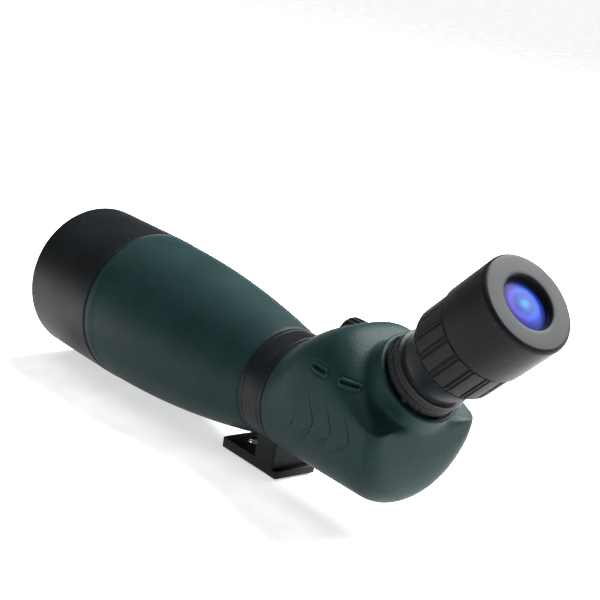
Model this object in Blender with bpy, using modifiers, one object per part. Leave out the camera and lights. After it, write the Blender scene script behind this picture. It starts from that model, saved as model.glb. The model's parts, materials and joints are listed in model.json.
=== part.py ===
"""An angled 70 mm spotting scope, built as an assembly of separate pieces.

The frame is +Y towards the objective, +X to the user's right and +Z up, with the origin in the
middle of the tripod foot's underside. Turned pieces are drawn about the Z axis of one of two
empties: main_axis, whose Z runs forward along the barrel, and eye_axis, whose Z runs up the
eyepiece. The prism housing and the focusing drive hang on housing_frame, whose origin is the
point where those two axes cross. Lengths are in metres.
"""
import math

import bmesh
import bpy
from mathutils import Matrix, Vector

MM = 0.001

# ---------------------------------------------------------------------------- fits and fineness
GAP = 0.3 * MM               # between two pieces that touch or run in each other
LARGE = 32                   # steps round a large turned piece
MEDIUM = 22
SMALL = 14
TINY = 8

# --------------------------------------------------------------------------------- the layout
AXIS_HEIGHT = 44.0 * MM      # main optical axis above the foot's underside
EYE_TILT = math.radians(45)  # eyepiece axis above the main axis, looking back
REAR_RADIUS = 29.0 * MM      # collar, barrel's rear end and housing's front end

# --------------------------------------------------------------------------- collar and foot
COLLAR_REAR = -22.0 * MM     # collar's rear face, along Y
COLLAR_LENGTH = 17.8 * MM
COLLAR_WALL = 4.7 * MM
FOOT_WIDTH = 26.0 * MM
FOOT_FRONT = 22.0 * MM
FOOT_THICKNESS = 6.0 * MM
POST_FRONT = -4.8 * MM
POST_REAR = -19.5 * MM
HEEL_LENGTH = 3.5 * MM       # the lower step behind the post
HEEL_THICKNESS = 4.2 * MM
THREAD_Y = 11.0 * MM         # tripod thread, forward of the post
THREAD_RADIUS = 3.175 * MM   # 1/4 in - 20
INSERT_WALL = 1.1 * MM

# -------------------------------------------------------------------------------- objective
LENS_RADIUS = 36.0 * MM
LENS_SEAT = 1.0 * MM         # how far a seat or a ring covers the lens's edge
CELL_WALL = 1.1 * MM
REAR_LENS_EDGE = 6.0 * MM
FRONT_LENS_EDGE = 3.5 * MM
LENS_SAG = 2.4 * MM
SPACER_THICKNESS = 0.8 * MM
RETAINER_LENGTH = 2.5 * MM
CELL_LIP = 1.5 * MM          # cell's rear lip and front flange, along Y
CELL_RECESS = 2.5 * MM       # retainer's front face behind the tube's end
SEAL_THICKNESS = 0.9 * MM

# ------------------------------------------------------------------------ barrel and sunshade
ARMOUR_LENGTH = 123.9 * MM
ARMOUR_WALL = 2.0 * MM
ARMOUR_STEP = 0.4 * MM       # armour's front end below the sunshade's radius
ARMOUR_LIP = 0.4 * MM
LIP_LENGTH = 9.0 * MM
TUBE_WALL = 1.6 * MM
SHADE_LENGTH = 58.8 * MM
SHADE_WALL = 2.0 * MM
SHADE_TRAVEL = 33.0 * MM
GUIDE_LENGTH = 4.0 * MM      # the sunshade's guide ring
GUIDE_WALL = 1.1 * MM
NECK_STEP = 4.0 * MM         # the neck is this much slimmer inside the housing
NECK_INSERTION = 7.0 * MM
BAFFLE_FRONT = 90.0 * MM
BAFFLE_REAR = 30.0 * MM
BAFFLE_LENGTH = 4.0 * MM
BAFFLE_WALL = 1.2 * MM
BAFFLE_RIM = 6.5 * MM        # how far a baffle reaches in from the tube

# ---------------------------------------------------------------------------- prism housing
HOUSING_FRONT = 38.2 * MM    # from the crossing of the axes to the front face
HOUSING_BACK = 45.8 * MM
HOUSING_HALF_WIDTH = 34.0 * MM
HOUSING_BLEND = 30.0 * MM    # length over which the round front grows into the box
HOUSING_LIFT = 16.0 * MM     # height of the widest line at the back
HOUSING_EDGE = 6.5 * MM      # radius of the back edges
HOUSING_LEDGE = 17.0 * MM    # top of the back face, above the main axis
KNOB_ROOF = 3.7 * MM         # height of the top over the knob's pocket, at the pocket's floor
HOUSING_BROW = 15.6 * MM     # rounding where the top meets the eyepiece's face
EYE_FACE = 43.7 * MM         # the face under the eyepiece, from the crossing
BELLY_START = 25.0 * MM      # behind the crossing, the belly turns up from here
BELLY_HEIGHT = 5.6 * MM      # where it ends, below the main axis
LOWER_POWER = 2.1            # roundness of the section: 2 is an ellipse
UPPER_POWER = 2.8
SHELL_WALL = 2.0 * MM
SECTION_POINTS = 28

# ------------------------------------------------------------------------------ focusing drive
KNOB_RADIUS = 9.5 * MM
KNOB_CLOCK = math.radians(33.5)  # the knob's axis, seen from behind, right of the top
KNOB_FRONT = 37.7 * MM
KNOB_FLOOR = 18.0 * MM       # floor of the knob's pocket
POCKET_CLEARANCE = 0.9 * MM
POCKET_WALL = 1.9 * MM
POCKET_FLOOR = 2.5 * MM
GRIP_WALL = 2.0 * MM
CAP_THICKNESS = 0.7 * MM
JOURNAL_RADIUS = 2.0 * MM
BUSH_WALL = 1.1 * MM
CLIP_WALL = 1.0 * MM
CLIP_LENGTH = 0.6 * MM
SCREW_RADIUS = 1.6 * MM
SCREW_REAR = -14.0 * MM
NUT_WALL = 1.6 * MM
NUT_LENGTH = 8.0 * MM
ROD_RADIUS = 1.2 * MM
ROD_REAR = -38.0 * MM
BULKHEAD_LENGTH = 5.8 * MM

# ------------------------------------------------------------------------------------- prisms
CHEEK_WALL = 3.2 * MM
CAGE_FLOOR = 2.0 * MM
STRAP_THICKNESS = 0.8 * MM
STRAP_HALF_WIDTH = 3.5 * MM

# ----------------------------------------------------------------------------------- eyepiece
BOSS_RADIUS = 23.0 * MM
BOSS_TOP = 49.0 * MM         # all heights below are along the eyepiece axis
RIM_TOP = 52.3 * MM          # the armour rises round the flange
BOSS_ROOT = 30.0 * MM
PORT_RADIUS = 15.8 * MM
FLANGE_RADIUS = 19.8 * MM
FLANGE_THICKNESS = 2.0 * MM
FLANGE_BORE = 12.5 * MM
FLANGE_SCREW_CIRCLE = 18.0 * MM
KNURL_RADIUS = 20.2 * MM
NOSE_RADIUS = 14.9 * MM
LOCK_BOTTOM = 53.3 * MM
LOCK_LENGTH = 4.0 * MM
BASE_LENGTH = 4.3 * MM
NECK_RADIUS = 18.3 * MM
FLARE_RADIUS = 22.3 * MM
ZOOM_BOTTOM = 76.0 * MM
ZOOM_LENGTH = 20.5 * MM
GUIDE_BORE = 12.8 * MM       # bore that the zoom lens cells slide in
GUIDE_TUBE_WALL = 1.2 * MM
GUIDE_TUBE_TOP = 104.0 * MM
CAM_WALL = 1.2 * MM
CAM_TOP = 100.0 * MM
CORE_WALL = 5.1 * MM
ZOOM_GRIP_WALL = 1.8 * MM
ZOOM_TURN = math.radians(100)
PIN_RADIUS = 1.0 * MM
PIN_CLEARANCE = 0.4 * MM
FRONT_PIN = 84.0 * MM
FRONT_TRAVEL = -6.0 * MM
REAR_PIN = 92.5 * MM
REAR_TRAVEL = 5.0 * MM
ZOOM_CELL_WALL = 2.2 * MM
STOP_RADIUS = 8.5 * MM
TOP_STEP = 2.2 * MM          # the fixed top is this much slimmer above its shoulder
TOP_HEIGHT = 123.1 * MM
EYE_CELL_BOTTOM = 112.0 * MM
EYE_RETAINER_HEIGHT = 2.0 * MM
HELIX_WALL = 1.1 * MM
SLEEVE_WALL = 1.6 * MM
COVER_WALL = 1.6 * MM
CUP_BOTTOM = 97.6 * MM
CUP_TOP = 128.1 * MM
CUP_FACE = 3.0 * MM
CUP_HOLE = 13.0 * MM
CUP_ROUNDING = 2.6 * MM
EYE_CELL_WALL = 2.4 * MM
EYE_LENS_STEP = 0.6 * MM     # the inner lens is this much smaller than the eye lens

# -------------------------------------------------------------------------- worked-out places
COLLAR_FRONT = COLLAR_REAR + COLLAR_LENGTH
COLLAR_BORE = REAR_RADIUS - COLLAR_WALL
CROSS_Y = COLLAR_REAR - GAP - HOUSING_FRONT
ARMOUR_REAR = COLLAR_FRONT + GAP
ARMOUR_FRONT = ARMOUR_REAR + ARMOUR_LENGTH
SHADE_REAR = ARMOUR_FRONT + GAP
TUBE_FRONT = SHADE_REAR + 2 * GAP + GUIDE_LENGTH + SHADE_TRAVEL
CELL_BORE = LENS_RADIUS + GAP
CELL_RADIUS = CELL_BORE + CELL_WALL
TUBE_RADIUS = CELL_RADIUS + GAP + TUBE_WALL
GUIDE_RADIUS = TUBE_RADIUS + GAP + GUIDE_WALL
SHADE_BORE = GUIDE_RADIUS + GAP
SHADE_RADIUS = SHADE_BORE + SHADE_WALL
ARMOUR_FRONT_RADIUS = SHADE_RADIUS - ARMOUR_STEP
NECK_OUTER = COLLAR_BORE - GAP
SHELL_INSET = ARMOUR_WALL + GAP
CAVITY_INSET = SHELL_INSET + SHELL_WALL
BULKHEAD_RADIUS = REAR_RADIUS - CAVITY_INSET - GAP
BULKHEAD_BORE = NECK_OUTER - NECK_STEP + GAP
ROD_X = BULKHEAD_RADIUS - 2 * ROD_RADIUS
POCKET_RADIUS = KNOB_RADIUS + POCKET_CLEARANCE
KNOB_DISTANCE = BULKHEAD_RADIUS + POCKET_RADIUS + POCKET_WALL + 1.5 * GAP
KNOB_X = KNOB_DISTANCE * math.sin(KNOB_CLOCK)
KNOB_Z = KNOB_DISTANCE * math.cos(KNOB_CLOCK)
HOUSING_SLOPE = ((KNOB_Z + POCKET_RADIUS + KNOB_ROOF - REAR_RADIUS)
                 / (HOUSING_FRONT - KNOB_FLOOR + POCKET_FLOOR))
PRISM_HALF_WIDTH = 0.40 * REAR_RADIUS
PRISM_HALF_HEIGHT = 0.50 * REAR_RADIUS
PRISM_FRONT = 0.59 * REAR_RADIUS
PRISM_EXIT = 0.41 * REAR_RADIUS      # first prism's exit face, along the eyepiece axis
EXIT_LOW = -0.655 * REAR_RADIUS      # ends of that face, from the eyepiece axis
EXIT_HIGH = 0.365 * REAR_RADIUS
ROOF_TOP = 0.90 * REAR_RADIUS
ROOF_BASE_HALF = 0.52 * REAR_RADIUS
ROOF_TOP_HALF = 0.41 * REAR_RADIUS
STRAP_OFFSET = -0.10 * REAR_RADIUS   # clamp strap's middle, from the eyepiece axis
CAGE_FRONT = PRISM_FRONT + MM
CAGE_BACK = -0.83 * REAR_RADIUS
CAGE_TOP = 0.62 * REAR_RADIUS
CAGE_INNER = PRISM_HALF_WIDTH + GAP
CAGE_OUTER = CAGE_INNER + CHEEK_WALL
CAGE_BOTTOM = -PRISM_HALF_HEIGHT - GAP - CAGE_FLOOR
FLANGE_BOTTOM = BOSS_TOP - 0.4 * MM + GAP
FLANGE_TOP = FLANGE_BOTTOM + FLANGE_THICKNESS
LOCK_TOP = LOCK_BOTTOM + LOCK_LENGTH
BASE_BOTTOM = LOCK_TOP + GAP
BASE_TOP = BASE_BOTTOM + BASE_LENGTH
GUIDE_TUBE_RADIUS = GUIDE_BORE + GUIDE_TUBE_WALL
CAM_BORE = GUIDE_TUBE_RADIUS + GAP
CAM_RADIUS = CAM_BORE + CAM_WALL
CORE_BORE = CAM_RADIUS + GAP
CORE_RADIUS = CORE_BORE + CORE_WALL
ZOOM_TOP = ZOOM_BOTTOM + ZOOM_LENGTH
ZOOM_RADIUS = CORE_RADIUS + GAP + ZOOM_GRIP_WALL
TOP_RADIUS = CORE_RADIUS - TOP_STEP
EYE_LENS_RADIUS = TOP_RADIUS - EYE_CELL_WALL - 2.7 * MM
INNER_LENS_RADIUS = EYE_LENS_RADIUS - EYE_LENS_STEP
HELIX_BORE = TOP_RADIUS + GAP
HELIX_RADIUS = HELIX_BORE + HELIX_WALL
SLEEVE_BORE = HELIX_RADIUS + GAP
SLEEVE_RADIUS = SLEEVE_BORE + SLEEVE_WALL
COVER_BORE = SLEEVE_RADIUS + GAP
CUP_RADIUS = COVER_BORE + COVER_WALL
CELL_FLANGE_TOP = TOP_HEIGHT + GAP + 1.3 * MM

MATERIALS = {
    "armour_green": ((0.030, 0.085, 0.075), 0.62, 0.0),
    "satin_black": ((0.020, 0.022, 0.024), 0.42, 0.0),
    "soft_black": ((0.018, 0.019, 0.021), 0.70, 0.0),
    "anodised_black": ((0.022, 0.023, 0.025), 0.35, 0.9),
    "shell_plastic": ((0.030, 0.031, 0.033), 0.55, 0.0),
    "matt_baffle": ((0.008, 0.008, 0.008), 0.90, 0.0),
    "aluminium": ((0.62, 0.63, 0.65), 0.35, 1.0),
    "steel": ((0.55, 0.56, 0.58), 0.28, 1.0),
    "brass": ((0.70, 0.52, 0.22), 0.30, 1.0),
    "lens_glass": ((0.25, 0.30, 0.75), 0.05, 0.0),
    "prism_glass": ((0.80, 0.86, 0.88), 0.05, 0.0),
}


# ------------------------------------------------------------------------------ modelling tools
def clear_scene():
    for obj in list(bpy.data.objects):
        bpy.data.objects.remove(obj, do_unlink=True)


def new_collection(name):
    collection = bpy.data.collections.new(name)
    bpy.context.scene.collection.children.link(collection)
    return collection


def material(name):
    """The Principled material of that name, made the first time it is asked for."""
    if name in bpy.data.materials:
        return bpy.data.materials[name]
    colour, roughness, metallic = MATERIALS[name]
    made = bpy.data.materials.new(name)
    made.use_nodes = True
    shader = made.node_tree.nodes["Principled BSDF"]
    shader.inputs["Base Color"].default_value = (*colour, 1.0)
    shader.inputs["Roughness"].default_value = roughness
    shader.inputs["Metallic"].default_value = metallic
    made.diffuse_color = (*colour, 1.0)
    return made


def empty(name, location, rotation=(0, 0, 0), parent=None):
    axis = bpy.data.objects.new(name, None)
    axis.location = location
    axis.rotation_euler = rotation
    axis.parent = parent
    SCOPE.objects.link(axis)
    return axis


def add_object(name, mesh, parent, finish):
    obj = bpy.data.objects.new(name, mesh)
    obj.parent = parent
    mesh.materials.append(material(finish))
    SCOPE.objects.link(obj)
    return obj


def bake(obj):
    """Replaces an object's mesh by what its modifiers make of it, shaded smooth between edges."""
    bpy.context.view_layer.update()
    evaluated = obj.evaluated_get(bpy.context.evaluated_depsgraph_get())
    mesh = bpy.data.meshes.new_from_object(evaluated)
    obj.modifiers.clear()
    obj.data = mesh
    mesh.shade_smooth()
    mesh.set_sharp_from_angle(angle=math.radians(32))
    return obj


def turned(name, outer, inner, parent, finish, steps=MEDIUM):
    """A turned piece. Points are (radius, height): outer runs down the outside from the top,
    and inner runs back up the bore. With no inner, outer starts and ends on the axis."""
    points = list(outer) + list(inner)
    edges = [(i, i + 1) for i in range(len(points) - 1)]
    if inner:
        edges.append((len(points) - 1, 0))
    mesh = bpy.data.meshes.new(name)
    mesh.from_pydata([(radius, 0, height) for radius, height in points], edges, [])
    obj = add_object(name, mesh, parent, finish)
    screw = obj.modifiers.new("turn", "SCREW")
    screw.steps = steps
    screw.render_steps = steps
    screw.use_merge_vertices = True
    screw.merge_threshold = 0.00001
    return bake(obj)


def ring(name, radius, bore, bottom, top, parent, finish, steps=MEDIUM):
    return turned(name, [(radius, top), (radius, bottom)], [(bore, bottom), (bore, top)],
                  parent, finish, steps)


def rod(name, radius, bottom, top, parent, finish, steps=SMALL):
    return turned(name, [(0, top), (radius, top), (radius, bottom), (0, bottom)], [],
                  parent, finish, steps)


def box(name, low, high, parent, finish, bevel=0.0):
    """A box between two corners, its edges rounded by bevel."""
    mesh = bpy.data.meshes.new(name)
    shape = bmesh.new()
    bmesh.ops.create_cube(shape, size=1.0)
    size = Vector(high) - Vector(low)
    bmesh.ops.scale(shape, vec=size, verts=shape.verts)
    bmesh.ops.translate(shape, vec=Vector(low) + size / 2, verts=shape.verts)
    shape.to_mesh(mesh)
    shape.free()
    obj = add_object(name, mesh, parent, finish)
    if bevel:
        rounding = obj.modifiers.new("round", "BEVEL")
        rounding.width = bevel
        rounding.segments = 2
        bake(obj)
    return obj


def prism(name, outline, half_width, parent, finish):
    """A flat outline of (y, z) points, drawn out along X to both sides."""
    mesh = bpy.data.meshes.new(name)
    shape = bmesh.new()
    face = shape.faces.new([shape.verts.new((-half_width, y, z)) for y, z in outline])
    drawn = bmesh.ops.extrude_face_region(shape, geom=[face])
    moved = [part for part in drawn["geom"] if isinstance(part, bmesh.types.BMVert)]
    bmesh.ops.translate(shape, vec=(2 * half_width, 0, 0), verts=moved)
    bmesh.ops.recalc_face_normals(shape, faces=shape.faces)
    shape.to_mesh(mesh)
    shape.free()
    return add_object(name, mesh, parent, finish)


def loft(name, sections, parent, finish):
    """A skin over closed sections with equal numbers of points, capped at both ends. It is laid in
    triangles, so that one loft stays clear of another set in from it."""
    mesh = bpy.data.meshes.new(name)
    shape = bmesh.new()
    rows = [[shape.verts.new(point) for point in section] for section in sections]
    for row, following in zip(rows, rows[1:]):
        for i in range(len(row)):
            j = (i + 1) % len(row)
            shape.faces.new((row[i], row[j], following[j]))
            shape.faces.new((row[i], following[j], following[i]))
    shape.faces.new(rows[0])
    shape.faces.new(rows[-1])
    bmesh.ops.recalc_face_normals(shape, faces=shape.faces)
    shape.to_mesh(mesh)
    shape.free()
    return bake(add_object(name, mesh, parent, finish))


def combine(target, tool, operation):
    """One Boolean step; the tool is used up by it."""
    step = target.modifiers.new(operation.lower(), "BOOLEAN")
    step.operation = operation
    step.solver = "EXACT"
    step.object = tool
    weld = target.modifiers.new("weld", "WELD")
    weld.merge_threshold = 2e-6
    bake(target)
    bpy.data.objects.remove(tool, do_unlink=True)
    return target


def join(target, tool):
    return combine(target, tool, "UNION")


def cut(target, tool):
    return combine(target, tool, "DIFFERENCE")


def drill(target, radius, bottom, top, parent, steps=TINY, at=(0, 0)):
    """A round hole along the parent's Z axis, at (x, y) in the parent's frame."""
    tool = rod("drill", radius, bottom, top, parent, "steel", steps)
    tool.location = (*at, 0)
    return cut(target, tool)


def screw_piece(name, shank, head, shank_bottom, seat, head_height, parent, finish, at):
    """A pan-head screw along the parent's Z axis."""
    top = seat + head_height
    obj = turned(name, [(0, top), (head * 0.8, top), (head, seat + head_height / 2), (head, seat),
                        (shank, seat), (shank, shank_bottom), (0, shank_bottom)], [],
                 parent, finish, TINY)
    obj.location = (*at, 0)
    return obj


def arc_down(radius, edge, sag, pieces=3):
    """Points of a spherical face from its middle, sag above edge, out to its edge."""
    return [(radius * i / pieces, edge + sag * (1 - (i / pieces) ** 2)) for i in range(pieces + 1)]


def lens(name, radius, bottom, top, lower_sag, upper_sag, parent, finish, steps=MEDIUM):
    """A lens whose edge runs from bottom to top; a positive sag makes that face bulge upwards."""
    upper = arc_down(radius, top, upper_sag)
    lower = list(reversed(arc_down(radius, bottom, lower_sag)))
    return turned(name, upper + lower, [], parent, finish, steps)


# ----------------------------------------------------------------------------- collar and foot
def collar_and_foot():
    """The collar is one casting with its post and foot plate; the tripod thread is an insert."""
    chamfer = 0.8 * MM
    body = turned("collar_foot",
                  [(0, COLLAR_FRONT), (REAR_RADIUS - chamfer, COLLAR_FRONT),
                   (REAR_RADIUS, COLLAR_FRONT - chamfer), (REAR_RADIUS, COLLAR_REAR + chamfer),
                   (REAR_RADIUS - chamfer, COLLAR_REAR), (0, COLLAR_REAR)],
                  [], MAIN_AXIS, "satin_black", LARGE)
    half = FOOT_WIDTH / 2
    post_top = AXIS_HEIGHT - COLLAR_BORE
    plate = box("plate", (-half, POST_REAR, 0), (half, FOOT_FRONT, FOOT_THICKNESS),
                None, "satin_black", 0.7 * MM)
    heel = box("heel", (-half, POST_REAR - HEEL_LENGTH, 0),
               (half, POST_REAR + HEEL_LENGTH, HEEL_THICKNESS), None, "satin_black", 0.6 * MM)
    post = box("post", (-half, POST_REAR, FOOT_THICKNESS / 2), (half, POST_FRONT, post_top),
               None, "satin_black", 0.5 * MM)
    join(body, join(join(plate, heel), post))
    drill(body, COLLAR_BORE, COLLAR_REAR - MM, COLLAR_FRONT + MM, MAIN_AXIS, LARGE)
    insert_radius = THREAD_RADIUS + INSERT_WALL
    drill(body, insert_radius + GAP, -MM, FOOT_THICKNESS + MM, None, SMALL, (0, THREAD_Y))
    insert = ring("foot_insert", insert_radius, THREAD_RADIUS, 0, FOOT_THICKNESS - 2 * GAP,
                  None, "steel", SMALL)
    insert.location = (0, THREAD_Y, 0)


# -------------------------------------------------------------------------- barrel and sunshade
def armour_radius(y):
    """Outer radius of the pear-shaped rubber sleeve."""
    t = (y - ARMOUR_REAR) / ARMOUR_LENGTH
    return REAR_RADIUS + (ARMOUR_FRONT_RADIUS - REAR_RADIUS) * (1 - (1 - t) ** 2)


def pear(inset, count=6):
    """Points of that sleeve's outline, set in by inset, from front to rear."""
    heights = [ARMOUR_FRONT - ARMOUR_LENGTH * i / (count - 1) for i in range(count)]
    return [(armour_radius(y) - inset, y) for y in heights]


def barrel():
    outside = pear(0)
    middle = ARMOUR_FRONT - LIP_LENGTH / 2
    lip = [(armour_radius(middle) + ARMOUR_LIP, middle),
           (armour_radius(ARMOUR_FRONT - LIP_LENGTH), ARMOUR_FRONT - LIP_LENGTH)]
    turned("barrel_armour", outside[:1] + lip + outside[1:], list(reversed(pear(ARMOUR_WALL))),
           MAIN_AXIS, "armour_green", LARGE)

    skin = ARMOUR_WALL + GAP
    neck_rear = COLLAR_REAR - GAP - NECK_INSERTION
    slim = NECK_OUTER - NECK_STEP
    front = [(TUBE_RADIUS, TUBE_FRONT), (TUBE_RADIUS, ARMOUR_FRONT)]
    neck = [(NECK_OUTER, ARMOUR_REAR), (NECK_OUTER, COLLAR_REAR),
            (slim, COLLAR_REAR), (slim, neck_rear)]
    bore = [(slim - TUBE_WALL, neck_rear), (slim - TUBE_WALL, COLLAR_REAR + TUBE_WALL),
            (NECK_OUTER - TUBE_WALL, COLLAR_REAR + TUBE_WALL),
            (NECK_OUTER - TUBE_WALL, ARMOUR_REAR + TUBE_WALL)]
    inside = list(reversed(pear(skin + TUBE_WALL)[:-1]))
    bore_front = [(TUBE_RADIUS - TUBE_WALL, ARMOUR_FRONT + TUBE_WALL),
                  (TUBE_RADIUS - TUBE_WALL, TUBE_FRONT)]
    turned("barrel_tube", front + pear(skin) + neck, bore + inside + bore_front,
           MAIN_AXIS, "shell_plastic", LARGE)

    for name, rear in (("baffle_front", BAFFLE_FRONT), ("baffle_rear", BAFFLE_REAR)):
        radius = armour_radius(rear) - skin - TUBE_WALL - GAP
        top = rear + BAFFLE_LENGTH
        opening = radius - BAFFLE_RIM
        turned(name, [(radius, top), (radius, rear)],
               [(opening, rear), (opening, rear + BAFFLE_WALL),
                (radius - BAFFLE_WALL, rear + BAFFLE_WALL), (radius - BAFFLE_WALL, top)],
               MAIN_AXIS, "matt_baffle", LARGE)


def sunshade():
    """The sunshade and the guide ring bonded inside its rear end slide together."""
    slide = empty("sunshade_slide", (0, 0, SHADE_REAR), parent=MAIN_AXIS)
    lip = 1.0 * MM
    turned("sunshade", [(SHADE_RADIUS - lip / 2, SHADE_LENGTH), (SHADE_RADIUS, SHADE_LENGTH - lip),
                        (SHADE_RADIUS, lip / 2), (SHADE_RADIUS - lip / 2, 0)],
           [(SHADE_BORE, 0), (SHADE_BORE, SHADE_LENGTH - lip), (SHADE_BORE + lip, SHADE_LENGTH)],
           slide, "satin_black", LARGE)
    ring("sunshade_guide_ring", GUIDE_RADIUS, TUBE_RADIUS + GAP, 2 * GAP, 2 * GAP + GUIDE_LENGTH,
         slide, "soft_black", LARGE)


def objective():
    """Cell, two air-spaced lenses, spacer, retaining ring and seal."""
    opening = LENS_RADIUS - LENS_SEAT
    retainer_top = TUBE_FRONT - CELL_RECESS
    front_top = retainer_top - RETAINER_LENGTH - GAP
    front_bottom = front_top - FRONT_LENS_EDGE
    spacer_top = front_bottom - GAP
    rear_top = spacer_top - SPACER_THICKNESS - GAP
    rear_bottom = rear_top - REAR_LENS_EDGE
    seat = rear_bottom - GAP
    flange_bottom = TUBE_FRONT + SEAL_THICKNESS + 2 * GAP
    flange_radius = SHADE_BORE - 2 * GAP
    turned("objective_cell",
           [(flange_radius, flange_bottom + CELL_LIP), (flange_radius, flange_bottom),
            (CELL_RADIUS, flange_bottom), (CELL_RADIUS, seat - CELL_LIP)],
           [(opening, seat - CELL_LIP), (opening, seat), (CELL_BORE, seat),
            (CELL_BORE, flange_bottom + CELL_LIP)],
           MAIN_AXIS, "anodised_black", LARGE)
    lens("objective_rear_lens", LENS_RADIUS, rear_bottom, rear_top, 0, -LENS_SAG,
         MAIN_AXIS, "lens_glass", LARGE)
    ring("lens_spacer", LENS_RADIUS, opening, spacer_top - SPACER_THICKNESS, spacer_top,
         MAIN_AXIS, "anodised_black", LARGE)
    lens("objective_front_lens", LENS_RADIUS, front_bottom, front_top, -LENS_SAG, LENS_SAG,
         MAIN_AXIS, "lens_glass", LARGE)
    ring("objective_retainer", LENS_RADIUS, opening, retainer_top - RETAINER_LENGTH, retainer_top,
         MAIN_AXIS, "anodised_black", LARGE)
    ring("objective_seal", TUBE_RADIUS, CELL_RADIUS + GAP, TUBE_FRONT + GAP,
         TUBE_FRONT + GAP + SEAL_THICKNESS, MAIN_AXIS, "soft_black", LARGE)


# ------------------------------------------------------------------------------- prism housing
def smooth(t):
    t = min(max(t, 0.0), 1.0)
    return t * t * (3 - 2 * t)


def housing_section(y, inset):
    """The housing's outline across the barrel at y, set in from the outer skin by inset.

    It is a circle at the front and grows into a tall rounded box. Its top follows two slopes,
    blended: one rises back from the collar, the other falls at 45 degrees under the eyepiece.
    """
    grow = smooth((HOUSING_FRONT - y) / HOUSING_BLEND)
    half_width = REAR_RADIUS + (HOUSING_HALF_WIDTH - REAR_RADIUS) * grow - inset
    lift = HOUSING_LIFT * grow

    length = HOUSING_BACK - BELLY_START - inset
    rise = min(max((-BELLY_START - y) / length, 0.0), 1.0)
    depth = BELLY_HEIGHT + (REAR_RADIUS - BELLY_HEIGHT - inset) * math.sqrt(1 - rise * rise)

    straight_up = inset * (1 + (math.sqrt(2) - 1) * grow)
    rising = REAR_RADIUS + HOUSING_SLOPE * (HOUSING_FRONT - y)
    falling = y + EYE_FACE * math.sqrt(2)
    height = (rising + falling - math.hypot(rising - falling, HOUSING_BROW * grow)) / 2
    height = max(height, HOUSING_LEDGE) - straight_up

    edge = max(HOUSING_EDGE - inset, 1.5 * MM)
    past = max(-(HOUSING_BACK - inset - edge) - y, 0.0)
    shrink = edge - math.sqrt(max(edge * edge - past * past, 0.0))
    height -= shrink / 4
    lift = min(lift, height - MM)

    points = []
    for i in range(SECTION_POINTS):
        angle = 2 * math.pi * i / SECTION_POINTS
        across, up = math.cos(angle), math.sin(angle)
        reach = height - lift if up > 0 else depth + lift - shrink
        power = 2 + ((UPPER_POWER if up > 0 else LOWER_POWER) - 2) * grow
        wide = (abs(across) / (half_width - shrink)) ** power
        tall = (abs(up) / reach) ** power
        radius = (wide + tall) ** (-1 / power)
        points.append(Vector((radius * across, y, lift + radius * up)))
    return points


def housing_solid(name, inset, finish, front=HOUSING_FRONT):
    """The housing's outside, or its cavity, as one solid."""
    edge = max(HOUSING_EDGE - inset, 1.5 * MM)
    back = -(HOUSING_BACK - inset)
    stations = [front, HOUSING_FRONT - MM]
    stations += [HOUSING_FRONT * (1 - i / 4) for i in range(1, 5)]
    stations += [-BELLY_START * i / 3 for i in range(1, 4)]
    stations += [-BELLY_START + (back + edge + BELLY_START) * i / 3 for i in range(1, 4)]
    stations += [back + edge * (1 - math.sin(math.radians(a))) for a in (30, 60, 90)]
    return loft(name, [housing_section(y, inset) for y in stations], HOUSING, finish)


def along_knob(tool):
    """Stands a piece that was turned about Z on the knob's axis, pointing forward."""
    tool.matrix_basis = Matrix.Translation((KNOB_X, 0, KNOB_Z)) @ FORWARD
    return tool


def along_rod(side, tool):
    """Stands a piece that was turned about Z on one guide rod's axis, pointing forward."""
    tool.matrix_basis = Matrix.Translation((side * ROD_X, 0, 0)) @ FORWARD
    return tool


def housing_armour():
    """Green rubber skin, with the raised rim round the eyepiece and the knob's opening."""
    skin = housing_solid("housing_armour", 0, "armour_green")
    rim = turned("rim", [(0, RIM_TOP), (BOSS_RADIUS - MM, RIM_TOP), (BOSS_RADIUS, RIM_TOP - MM),
                         (BOSS_RADIUS, BOSS_ROOT), (0, BOSS_ROOT)], [], EYE_AXIS, "armour_green",
                 LARGE)
    join(skin, rim)
    cut(skin, housing_solid("cavity", ARMOUR_WALL, "steel", HOUSING_FRONT + 2 * MM))
    drill(skin, BOSS_RADIUS - ARMOUR_WALL, BOSS_ROOT - 5 * MM, RIM_TOP + MM, EYE_AXIS, LARGE)
    cut(skin, along_knob(rod("pocket", POCKET_RADIUS, KNOB_FLOOR - POCKET_FLOOR - GAP,
                             HOUSING_FRONT + MM, HOUSING, "steel", MEDIUM)))


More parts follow.
